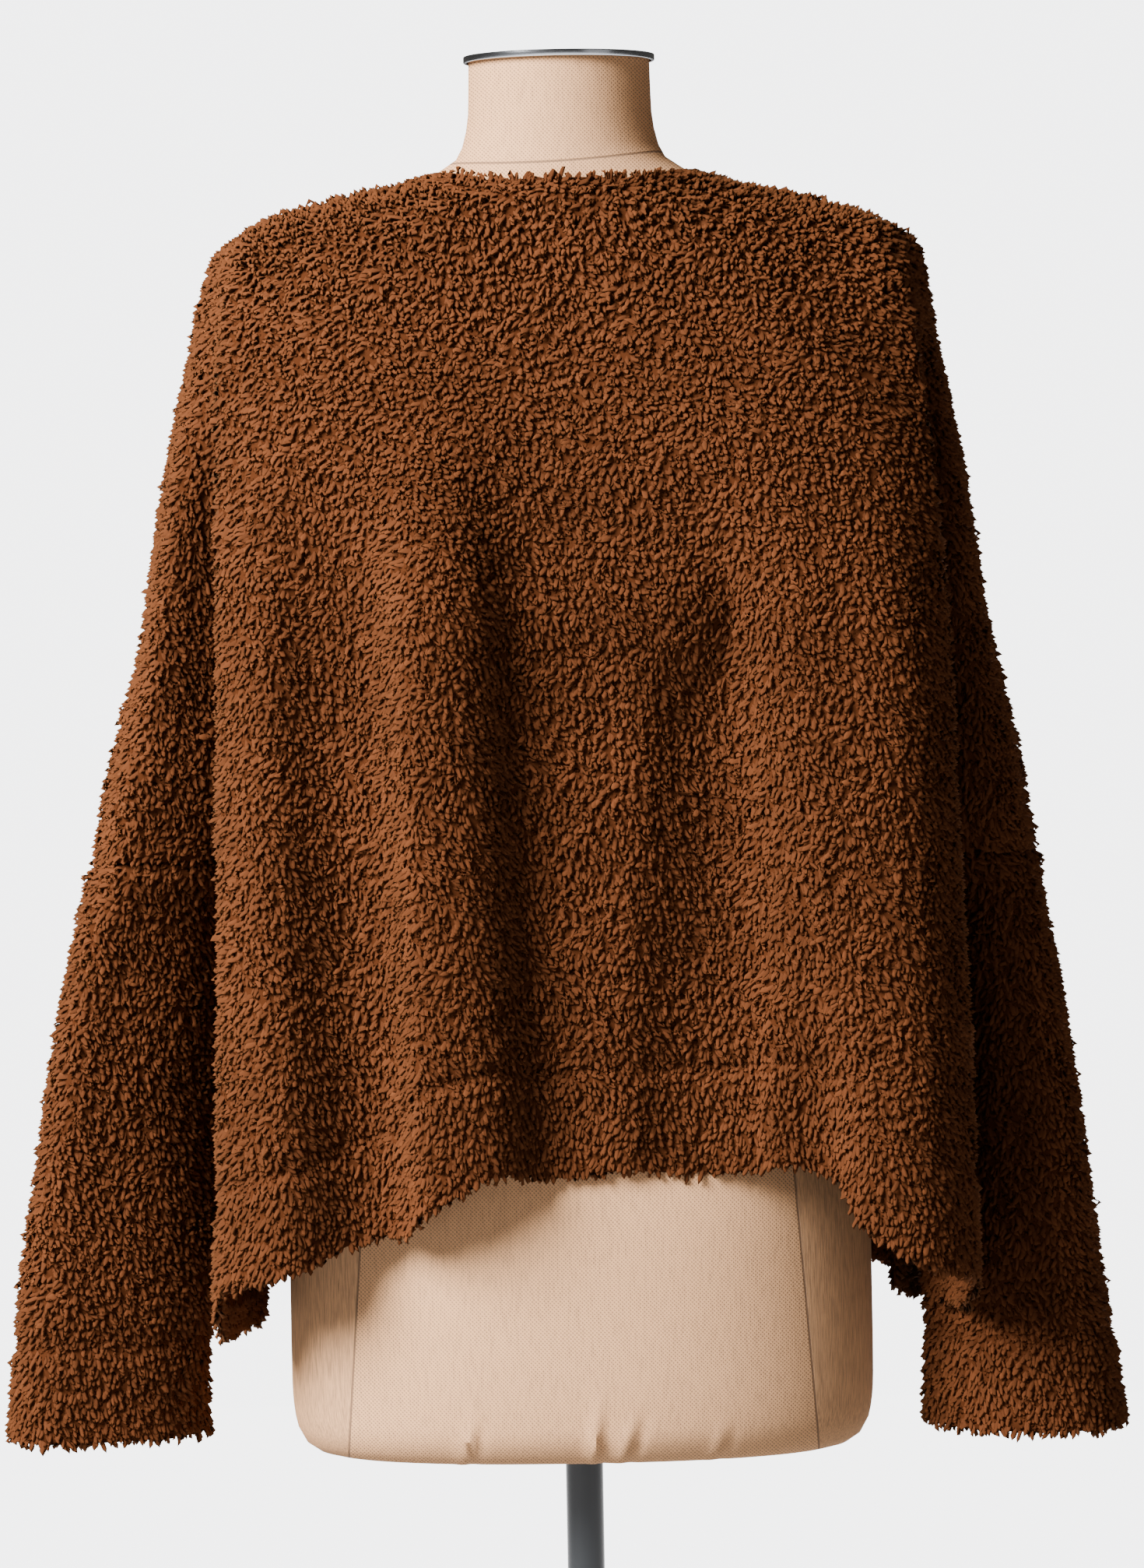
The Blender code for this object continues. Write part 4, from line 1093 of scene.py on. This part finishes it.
def curls_mesh(name, curls):
    """All of a piece's curls as one joined mesh, each bent along its own curve."""
    heights, angles, faces = curl_template()
    count = len(curls.root)
    aside = np.cross(curls.normal, curls.comb)
    length = curls.length[:, None]
    lift = curls.lift[:, None]
    lean = curls.lean[:, None]
    hook = curls.hook[:, None]
    places = np.empty((count, len(heights), 3))
    for index, (height, angle) in enumerate(zip(heights, angles)):
        rise = lift * (CURL_RISE * height - CURL_FALL * height ** 2)
        reach = lean * height ** 1.5
        swing = hook * height ** 2
        centre = curls.root + length * (
            curls.normal * (rise - ROOT_SUNK) + curls.comb * reach + aside * swing
        )
        along_curl = unit(
            curls.normal * lift * (CURL_RISE - 2.0 * CURL_FALL * height)
            + curls.comb * lean * 1.5 * math.sqrt(height)
            + aside * hook * 2.0 * height
        )
        first = unit(aside - along_curl * np.sum(aside * along_curl, axis=1, keepdims=True))
        second = np.cross(along_curl, first)
        wide = 0.0 if height > 0.99 else (CURL_FOOT if height < 0.01 else 1.0)
        radius = curls.radius[:, None] * wide
        places[:, index] = centre + radius * (first * math.cos(angle) + second * math.sin(angle))
    mesh = bpy.data.meshes.new(name)
    corners = (faces[None] + (np.arange(count) * len(heights))[:, None, None]).reshape(-1)
    mesh.vertices.add(count * len(heights))
    mesh.loops.add(len(corners))
    mesh.polygons.add(len(corners) // 3)
    mesh.vertices.foreach_set("co", places.reshape(-1).astype(np.float32))
    mesh.loops.foreach_set("vertex_index", corners.astype(np.int32))
    mesh.polygons.foreach_set("loop_start", np.arange(0, len(corners), 3, dtype=np.int32))
    mesh.update(calc_edges=True)
    add_attribute(mesh, "up_the_curl", "FLOAT", "value", np.tile(heights, count))
    add_attribute(mesh, "curl_tone", "FLOAT", "value", np.repeat(curls.tone, len(heights)))
    facing = np.repeat(curls.normal, len(heights), axis=0)
    add_attribute(mesh, "cloth_facing", "FLOAT_VECTOR", "vector", facing)
    mesh.shade_smooth()
    return mesh


def form_body():
    """The form's covered torso and neck as a closed mesh."""
    heights = []
    for upper, lower in zip(FORM, FORM[1:]):
        parts = max(1, math.ceil((upper.height - lower.height) / FORM_STEP))
        span = upper.height - lower.height
        heights += [upper.height - span * part / parts for part in range(parts)]
    heights.append(FORM[-1].height)
    rings = np.array([form_ring(height) for height in heights])
    for gather in GATHERS:
        middle = gather.across + gather.slant * (rings[..., 2] - FORM[-1].height)
        near = bump(rings[..., 0] - middle, 0.0, gather.width) * (rings[..., 1] < 0.0)
        low = 1.0 - eased(FORM[-1].height + 0.004, gather.top, rings[..., 2])
        rings[..., 1] -= gather.out * near * low
    angle = form_angles()
    mouth = np.stack([np.cos(angle), np.sin(angle), np.zeros(FORM_SIDES)], axis=1)
    mouth *= POLE_RADIUS + SEAM_GAP
    for height in (FORM[-1].height, FORM[-1].height + POLE_SOCKET):
        rings = np.concatenate([rings, (mouth + (0.0, 0.0, height))[None]])
    grid = np.concatenate([rings, rings[:, :1]], axis=1)
    body = bmesh.new()
    add_grid(body, grid, np.ones((grid.shape[0] - 1, grid.shape[1] - 1), bool))
    bmesh.ops.remove_doubles(body, verts=body.verts, dist=WELD)
    bmesh.ops.holes_fill(body, edges=[edge for edge in body.edges if edge.is_boundary])
    bmesh.ops.recalc_face_normals(body, faces=body.faces)
    return body


def turned_body(profile, middle_y=0.0):
    """A closed round body spun from (radius, height) points; the first and last lie on the axis."""
    body = bmesh.new()
    verts = [body.verts.new((radius, middle_y, height)) for radius, height in profile]
    edges = [body.edges.new(pair) for pair in zip(verts, verts[1:])]
    bmesh.ops.spin(
        body, geom=verts + edges, cent=(0.0, middle_y, 0.0), axis=(0.0, 0.0, 1.0),
        angle=2.0 * math.pi, steps=TURNED_SIDES, use_merge=True,
    )
    bmesh.ops.remove_doubles(body, verts=body.verts, dist=WELD)
    bmesh.ops.recalc_face_normals(body, faces=body.faces)
    return body


def cap_profile():
    low = CAP_BOTTOM
    high = low + CAP_EDGE
    rim = low - CAP_SKIRT
    top = low + CAP_RISE
    soft = CAP_ROUNDING
    return [
        (0.0, low), (CAP_INSIDE, low), (CAP_INSIDE, rim), (CAP_RADIUS - soft, rim),
        (CAP_RADIUS - 0.3 * soft, rim + 0.3 * soft), (CAP_RADIUS, rim + soft), (CAP_RADIUS, high),
        (CAP_RADIUS - 0.6 * soft, high + 0.7 * soft), (CAP_RADIUS * 0.97, high + soft),
        (CAP_RADIUS * 0.80, top - 1.5 * soft), (CAP_RADIUS * 0.60, top - soft),
        (CAP_RADIUS * 0.20, top), (0.0, top),
    ]


def pole_profile():
    foot = BASE_SOCKET_FLOOR + SEAM_GAP
    top = FORM[-1].height + POLE_SOCKET - SEAM_GAP
    return [(0.0, foot), (POLE_RADIUS, foot), (POLE_RADIUS, top), (0.0, top)]


def base_profile():
    socket = POLE_RADIUS + SEAM_GAP
    boss = BASE_BOSS_RADIUS
    top = BASE_BOSS_HEIGHT
    rim = BASE_RADIUS
    edge = BASE_EDGE
    soft = BASE_ROUNDING
    return [
        (0.0, 0.0), (rim - soft, 0.0), (rim - 0.3 * soft, 0.3 * soft), (rim, soft), (rim, edge - soft),
        (rim - 0.3 * soft, edge - 0.3 * soft), (rim - soft, edge),
        (boss + 0.016, edge + 0.0045), (boss + 0.010, edge + 0.006), (boss + 0.003, edge + 0.0075),
        (boss, edge + 0.010), (boss - 0.003, top - soft), (boss - 0.0036, top - 0.4 * soft),
        (boss - 0.005, top), (socket, top), (socket, BASE_SOCKET_FLOOR), (0.0, BASE_SOCKET_FLOOR),
    ]


def node_group(name, inputs, outputs):
    """An empty shader node group with the given sockets, its entry and its exit."""
    tree = bpy.data.node_groups.new(name, "ShaderNodeTree")
    for label, kind in inputs:
        tree.interface.new_socket(label, in_out="INPUT", socket_type=kind)
    for label, kind in outputs:
        tree.interface.new_socket(label, in_out="OUTPUT", socket_type=kind)
    return tree, tree.nodes.new("NodeGroupInput"), tree.nodes.new("NodeGroupOutput")


def feed(tree, socket, term):
    """Links a socket, or sets it to a plain value."""
    if isinstance(term, bpy.types.NodeSocket):
        tree.links.new(term, socket)
    else:
        socket.default_value = term


def calc(tree, operation, *terms):
    node = tree.nodes.new("ShaderNodeMath")
    node.operation = operation
    for socket, term in zip(node.inputs, terms):
        feed(tree, socket, term)
    return node.outputs[0]


def plus(tree, first, second):
    return calc(tree, "ADD", first, second)


def less(tree, first, second):
    return calc(tree, "SUBTRACT", first, second)


def times(tree, first, second):
    return calc(tree, "MULTIPLY", first, second)


def rescale(tree, value, low, high, new_low, new_high):
    node = tree.nodes.new("ShaderNodeMapRange")
    node.interpolation_type = "SMOOTHSTEP"
    for label, term in zip(
        ("Value", "From Min", "From Max", "To Min", "To Max"), (value, low, high, new_low, new_high)
    ):
        feed(tree, node.inputs[label], term)
    return node.outputs["Result"]


def mixed(tree, share, first, second):
    node = tree.nodes.new("ShaderNodeMix")
    node.data_type = "RGBA"
    feed(tree, node.inputs[0], share)
    feed(tree, node.inputs[6], first)
    feed(tree, node.inputs[7], second)
    return node.outputs[2]


def noisy(tree, place, scale, detail=2.0):
    node = tree.nodes.new("ShaderNodeTexNoise")
    feed(tree, node.inputs["Scale"], scale)
    node.inputs["Detail"].default_value = detail
    feed(tree, node.inputs["Vector"], place)
    return node.outputs["Fac"]


def stretched(tree, place, scale):
    node = tree.nodes.new("ShaderNodeVectorMath")
    node.operation = "MULTIPLY"
    feed(tree, node.inputs[0], place)
    node.inputs[1].default_value = scale
    return node.outputs[0]


def bumped(tree, height, strength, distance):
    node = tree.nodes.new("ShaderNodeBump")
    feed(tree, node.inputs["Height"], height)
    node.inputs["Strength"].default_value = strength
    node.inputs["Distance"].default_value = distance
    return node.outputs["Normal"]


def use_group(tree, name, **terms):
    """A group's outputs; the group is made when it is first used."""
    if name not in bpy.data.node_groups:
        GROUPS[name]()
    node = tree.nodes.new("ShaderNodeGroup")
    node.node_tree = bpy.data.node_groups[name]
    for label, term in terms.items():
        feed(tree, node.inputs[label], term)
    return node.outputs


def curl_colour_group():
    """Colour up a curl: dark at its root as painted shade, lighter at its tip as painted light, with paler
    and darker patches.
    """
    tree, entry, leave = node_group(
        "Curl colour",
        [("Root", "NodeSocketColor"), ("Middle", "NodeSocketColor"), ("Tip", "NodeSocketColor"),
         ("Height", "NodeSocketFloat"), ("Tone", "NodeSocketFloat"), ("Place", "NodeSocketVector")],
        [("Colour", "NodeSocketColor")],
    )
    given = entry.outputs
    low = rescale(tree, given["Height"], 0.0, 0.55, 0.0, 1.0)
    high = rescale(tree, given["Height"], 0.45, 1.0, 0.0, 1.0)
    colour = mixed(tree, low, given["Root"], given["Middle"])
    colour = mixed(tree, high, colour, given["Tip"])
    patches = noisy(tree, given["Place"], 13.0, 3.0)
    tone = plus(tree, times(tree, given["Tone"], 0.55), times(tree, patches, 0.55))
    value = rescale(tree, tone, 0.15, 0.95, 0.68, 1.32)
    hue = tree.nodes.new("ShaderNodeHueSaturation")
    feed(tree, hue.inputs["Value"], value)
    feed(tree, hue.inputs["Color"], colour)
    tree.links.new(hue.outputs["Color"], leave.inputs["Colour"])


def fibre_group():
    """Fine fibres on a surface, as a normal."""
    tree, entry, leave = node_group(
        "Fibres", [("Place", "NodeSocketVector"), ("Scale", "NodeSocketFloat")],
        [("Normal", "NodeSocketVector")],
    )
    texture = noisy(tree, entry.outputs["Place"], entry.outputs["Scale"], 3.0)
    normal = bumped(tree, texture, 0.55, 0.0006)
    tree.links.new(normal, leave.inputs["Normal"])


def seam_group():
    """A dark stitched line where a distance is near zero."""
    tree, entry, leave = node_group(
        "Seam line", [("Distance", "NodeSocketFloat"), ("Width", "NodeSocketFloat")],
        [("Mask", "NodeSocketFloat")],
    )
    away = calc(tree, "ABSOLUTE", entry.outputs["Distance"])
    edge = calc(tree, "MULTIPLY", entry.outputs["Width"], 2.0)
    mask = rescale(tree, away, entry.outputs["Width"], edge, 1.0, 0.0)
    tree.links.new(mask, leave.inputs["Mask"])


GROUPS = {"Curl colour": curl_colour_group, "Fibres": fibre_group, "Seam line": seam_group}


def new_material(name, colour, roughness, metallic=0.0):
    material = bpy.data.materials.new(name)
    material.use_nodes = True
    tree = material.node_tree
    shader = tree.nodes["Principled BSDF"]
    shader.inputs["Base Color"].default_value = (*colour, 1.0)
    shader.inputs["Roughness"].default_value = roughness
    shader.inputs["Metallic"].default_value = metallic
    material.diffuse_color = (*colour, 1.0)
    return material, tree, shader


def object_place(tree):
    return tree.nodes.new("ShaderNodeTexCoord").outputs["Object"]


def attribute(tree, name, output="Fac"):
    node = tree.nodes.new("ShaderNodeAttribute")
    node.attribute_name = name
    return node.outputs[output]


def pile_material(settings):
    material, tree, shader = new_material("Curly fleece", settings.middle, 0.78)
    place = object_place(tree)
    # The curls' colour has painted shade at their roots and painted light at their tips
    colour = use_group(
        tree, "Curl colour", Root=(*settings.root, 1.0), Middle=(*settings.middle, 1.0),
        Tip=(*settings.tip, 1.0), Height=attribute(tree, "up_the_curl"),
        Tone=attribute(tree, "curl_tone"), Place=place,
    )["Colour"]
    tree.links.new(colour, shader.inputs["Base Color"])
    fibres = use_group(tree, "Fibres", Place=place, Scale=1400.0)["Normal"]
    shading = tree.nodes.new("ShaderNodeMix")
    shading.data_type = "VECTOR"
    feed(tree, shading.inputs[0], CLOTH_SHADING)
    feed(tree, shading.inputs[4], fibres)
    feed(tree, shading.inputs[5], attribute(tree, "cloth_facing", "Vector"))
    tree.links.new(shading.outputs[1], shader.inputs["Normal"])
    shader.inputs["Specular IOR Level"].default_value = 0.08
    shader.inputs["Specular Tint"].default_value = (1.0, 0.62, 0.34, 1.0)
    shader.inputs["Sheen Weight"].default_value = 0.06
    shader.inputs["Sheen Tint"].default_value = (0.86, 0.45, 0.20, 1.0)
    return material


def backing_material(settings):
    material, tree, shader = new_material("Knitted backing", settings.backing, 0.92)
    place = object_place(tree)
    # The loops' tops take a lighter colour than the hollows between them, and the whole backing is darker
    # than the curls: painted shade in the hollows and deep under the pile
    loops = tree.nodes.new("ShaderNodeTexVoronoi")
    loops.inputs["Scale"].default_value = LOOP_SCALE
    feed(tree, loops.inputs["Vector"], place)
    deep = rescale(tree, loops.outputs["Distance"], 0.10, 0.55, 1.0, 0.0)
    raised = (*(LOOP_TONE * part for part in settings.middle), 1.0)
    colour = mixed(tree, deep, (*settings.backing, 1.0), raised)
    tree.links.new(colour, shader.inputs["Base Color"])
    tree.links.new(bumped(tree, deep, 1.0, 0.0022), shader.inputs["Normal"])
    shader.inputs["Specular IOR Level"].default_value = 0.0
    return material


def linen_material(settings):
    """Twill on the form's middle panel, a straight grain on its sides, and its seams."""
    material, tree, shader = new_material("Linen", settings.linen, 0.82)
    place = object_place(tree)
    axes = tree.nodes.new("ShaderNodeSeparateXYZ")
    tree.links.new(place, axes.inputs[0])
    x = axes.outputs["X"]
    z = axes.outputs["Z"]
    slope = times(tree, less(tree, LINEN_SEAM_TOP, z), LINEN_SEAM_SPREAD)
    aside = less(tree, calc(tree, "ABSOLUTE", x), plus(tree, slope, LINEN_SEAM_ACROSS))
    on_side = rescale(tree, aside, -0.0005, 0.0005, 0.0, 1.0)
    seam = use_group(tree, "Seam line", Distance=aside, Width=LINEN_SEAM_WIDTH)["Mask"]
    bow = plus(tree, x, NECK_SEAM_SHIFT)
    neck_drop = times(tree, times(tree, bow, bow), NECK_SEAM_BOW)
    neck_away = less(tree, less(tree, z, NECK_SEAM_HEIGHT), neck_drop)
    neck_seam = use_group(tree, "Seam line", Distance=neck_away, Width=NECK_SEAM_WIDTH)["Mask"]
    wobble = times(tree, noisy(tree, place, 160.0), 3.2)
    rising = plus(tree, times(tree, x, TWILL), times(tree, z, TWILL))
    rising = calc(tree, "SINE", plus(tree, rising, wobble))
    falling = less(tree, times(tree, x, TWILL), times(tree, z, TWILL))
    falling = calc(tree, "SINE", less(tree, falling, wobble))
    twill = rescale(tree, plus(tree, rising, times(tree, falling, 0.7)), 0.0, 1.4, 0.0, 1.0)
    grain = noisy(tree, stretched(tree, place, (1.0, 1.0, 0.05)), 1500.0)
    grain = rescale(tree, grain, 0.36, 0.70, 0.15, 0.75)
    threads = noisy(tree, stretched(tree, place, (1.0, 1.0, 0.5)), 1500.0)
    in_middle = times(tree, twill, less(tree, 1.0, on_side))
    pattern = plus(tree, in_middle, times(tree, grain, on_side))
    slubs = noisy(tree, stretched(tree, place, (1.0, 1.0, 0.12)), 760.0)
    slubs = rescale(tree, slubs, 0.42, 0.72, 0.0, SLUB_SHARE)
    weave = plus(tree, times(tree, pattern, TWILL_SHARE), times(tree, threads, THREAD_SHARE))
    weave = plus(tree, weave, slubs)
    colour = mixed(tree, weave, (*settings.linen, 1.0), (*settings.thread, 1.0))
    stitched = calc(tree, "MAXIMUM", seam, neck_seam)
    colour = mixed(tree, times(tree, stitched, STITCH_SHARE), colour, (*settings.thread, 1.0))
    tree.links.new(colour, shader.inputs["Base Color"])
    height = less(tree, times(tree, weave, -0.5), stitched)
    tree.links.new(bumped(tree, height, 0.5, 0.0005), shader.inputs["Normal"])
    shader.inputs["Specular IOR Level"].default_value = 0.06
    return material


def enamel_material(settings):
    material, _tree, shader = new_material("Dark enamel", settings.enamel, 0.24)
    shader.inputs["Specular IOR Level"].default_value = 0.25
    return material


def finish(name, make, settings):
    """A material that pieces share, made for the first of them."""
    return bpy.data.materials.get(name) or make(settings)


def pile_cells(name):
    """The cells that curls stand on: a turned part's last rows have some only at the back."""
    shown = CLOTH[name].kept.copy()
    if name != "back":
        shown[-2:] = False
    return shown


def dress(context, name, parts, seed):
    """A cloth piece: its pile, a piece for each part of its cells, and its backing as a sheet."""
    settings = context.scene.curl_settings
    piles = []
    for part, cells in parts.items():
        label = f"{name}_{part}"
        mesh = curls_mesh(label, grow_curls(name, cells, settings, seed + len(piles)))
        piles.append(add_piece(label, mesh, finish("Curly fleece", pile_material, settings)))
    knit = finish("Knitted backing", backing_material, settings)
    backing = add_piece(name + "_cloth", backing_mesh(name), knit, [name])


class OBJECT_OT_dress_form(bpy.types.Operator):
    """Build the linen form and its chrome cap"""

    bl_idname = "fleece_top.dress_form"
    bl_label = "Dress form"

    def execute(self, context):
        settings = context.scene.form_settings
        form = add_piece(
            "dress_form", plain_mesh("dress_form", form_body()), linen_material(settings),
            ["torso"],
        )
        form.data.set_sharp_from_angle(angle=FORM_SHARP)
        chrome, _tree, _shader = new_material("Chrome", CHROME_COLOUR, 0.20, 1.0)
        cap = turned_body(cap_profile(), CAP_CENTRE_Y)
        cap = add_piece("neck_plate", plain_mesh("neck_plate", cap), chrome, ["neck_cap"])
        cap.data.set_sharp_from_angle(angle=FORM_SHARP)
        return {"FINISHED"}


class OBJECT_OT_form_stand(bpy.types.Operator):
    """Build the pole and the round base"""

    bl_idname = "fleece_top.form_stand"
    bl_label = "Pole and base"

    def execute(self, context):
        enamel = enamel_material(context.scene.form_settings)
        for name, profile, node in (
            ("stand_pole", pole_profile(), "pole"), ("stand_base", base_profile(), "base"),
        ):
            mesh = plain_mesh(name, turned_body(profile))
            piece = add_piece(name, mesh, enamel, [node])
            piece.data.set_sharp_from_angle(angle=FORM_SHARP)
        return {"FINISHED"}


class OBJECT_OT_fleece_body(bpy.types.Operator):
    """Build the front and back panels with their upper sleeves"""

    bl_idname = "fleece_top.fleece_body"
    bl_label = "Front and back"

    def execute(self, context):
        if not CLOTH:
            build_surfaces()
        middle = middles(mirrored(steps(COLUMN_COUNTS)))
        for name, seed in (("front", 11), ("back", 21)):
            shown = pile_cells(name)
            parts = {"pile_left": shown & (middle < 0.0), "pile_right": shown & (middle > 0.0)}
            dress(context, name, parts, seed)
        return {"FINISHED"}


class OBJECT_OT_fleece_sleeves(bpy.types.Operator):
    """Build both lower sleeves"""

    bl_idname = "fleece_top.fleece_sleeves"
    bl_label = "Lower sleeves"

    def execute(self, context):
        if not CLOTH:
            build_surfaces()
        for name, seed in (("sleeve_left", 31), ("sleeve_right", 41)):
            parts = {"pile": pile_cells(name)}
            dress(context, name, parts, seed)
        return {"FINISHED"}


def point_at(item, target):
    """Turns an object's -Z towards a point."""
    item.rotation_euler = (Vector(target) - item.location).to_track_quat("-Z", "Y").to_euler()


def add_light(name, place, target, size, power):
    light = bpy.data.lights.new(name, "AREA")
    light.shape = "DISK"
    light.size = size
    light.energy = power
    item = bpy.data.objects.new(name, light)
    item.location = place
    point_at(item, target)
    bpy.context.scene.collection.objects.link(item)


def stage_mesh():
    """A plain round floor."""
    body = bmesh.new()
    bmesh.ops.create_circle(body, cap_ends=True, segments=FLOOR_SIDES, radius=FLOOR_REACH)
    return plain_mesh("floor", body)


def pale_world(settings):
    """Dim light all round that the camera sees as the floor's pale colour."""
    world = bpy.data.worlds.new("Studio")
    world.use_nodes = True
    tree = world.node_tree
    dim = tree.nodes["Background"]
    dim.inputs["Color"].default_value = WORLD_COLOUR
    dim.inputs["Strength"].default_value = settings.around
    pale = tree.nodes.new("ShaderNodeBackground")
    pale.inputs["Color"].default_value = (*settings.floor, 1.0)
    pale.inputs["Strength"].default_value = settings.glow
    rays = tree.nodes.new("ShaderNodeLightPath")
    blend = tree.nodes.new("ShaderNodeMixShader")
    tree.links.new(rays.outputs["Is Camera Ray"], blend.inputs[0])
    tree.links.new(dim.outputs[0], blend.inputs[1])
    tree.links.new(pale.outputs[0], blend.inputs[2])
    tree.links.new(blend.outputs[0], tree.nodes["World Output"].inputs["Surface"])
    return world


class OBJECT_OT_plain_stage(bpy.types.Operator):
    """Build the plain floor, the soft lights and the camera"""

    bl_idname = "fleece_top.plain_stage"
    bl_label = "Stage"

    def execute(self, context):
        settings = context.scene.stage_settings
        material, tree, shader = new_material("Floor", settings.floor, 0.95)
        shader.inputs["Base Color"].default_value = (*(FLOOR_BOUNCE * part for part in settings.floor), 1.0)
        shader.inputs["Specular IOR Level"].default_value = 0.0
        shader.inputs["Emission Color"].default_value = (*settings.floor, 1.0)
        rays = tree.nodes.new("ShaderNodeLightPath")
        glossy = calc(tree, "MULTIPLY", rays.outputs["Is Glossy Ray"], REFLECTED_SHARE)
        seen = calc(tree, "MAXIMUM", rays.outputs["Is Camera Ray"], glossy)
        glow = calc(tree, "MULTIPLY", seen, settings.glow)
        tree.links.new(glow, shader.inputs["Emission Strength"])
        mesh = stage_mesh()
        mesh.materials.append(material)
        floor = bpy.data.objects.new("floor", mesh)
        context.scene.collection.objects.link(floor)
        add_light("key", KEY_PLACE, LIGHT_TARGET, KEY_SIZE, settings.key)
        add_light("fill", FILL_PLACE, LIGHT_TARGET, FILL_SIZE, settings.fill)
        context.scene.world = pale_world(settings)
        camera_data = bpy.data.cameras.new("camera")
        camera_data.sensor_width = CAMERA_SENSOR
        camera_data.lens = CAMERA_LENS
        camera = bpy.data.objects.new("camera", camera_data)
        camera.location = CAMERA_PLACE
        tilt = Matrix.Rotation(math.radians(90.0 - CAMERA_DOWN), 4, "X")
        roll = Matrix.Rotation(math.radians(CAMERA_ROLL), 4, "Z")
        camera.rotation_euler = (tilt @ roll).to_euler()
        context.scene.collection.objects.link(camera)
        context.scene.camera = camera
        return {"FINISHED"}


class VIEW3D_PT_fleece_top(bpy.types.Panel):
    """The buttons that build the fleece top"""

    bl_idname = "VIEW3D_PT_fleece_top"
    bl_label = "Fleece top"
    bl_space_type = "VIEW_3D"
    bl_region_type = "UI"
    bl_category = "Fleece top"

    def draw(self, context):
        for operator in OPERATORS:
            self.layout.operator(operator.bl_idname)


SETTINGS = {
    "curl_settings": CurlSettings, "form_settings": FormSettings, "stage_settings": StageSettings,
}
OPERATORS = (
    OBJECT_OT_dress_form, OBJECT_OT_form_stand, OBJECT_OT_fleece_body, OBJECT_OT_fleece_sleeves,
    OBJECT_OT_plain_stage,
)


def register():
    for item in (*SETTINGS.values(), *OPERATORS, VIEW3D_PT_fleece_top):
        bpy.utils.register_class(item)
    for name, group in SETTINGS.items():
        setattr(bpy.types.Scene, name, bpy.props.PointerProperty(type=group))


def unregister():
    for name in SETTINGS:
        delattr(bpy.types.Scene, name)
    for item in (VIEW3D_PT_fleece_top, *OPERATORS[::-1], *SETTINGS.values()):
        bpy.utils.unregister_class(item)


def main():
    register()
    for operator in OPERATORS:
        group, name = operator.bl_idname.split(".")
        getattr(getattr(bpy.ops, group), name)()


if __name__ == "__main__":
    main()
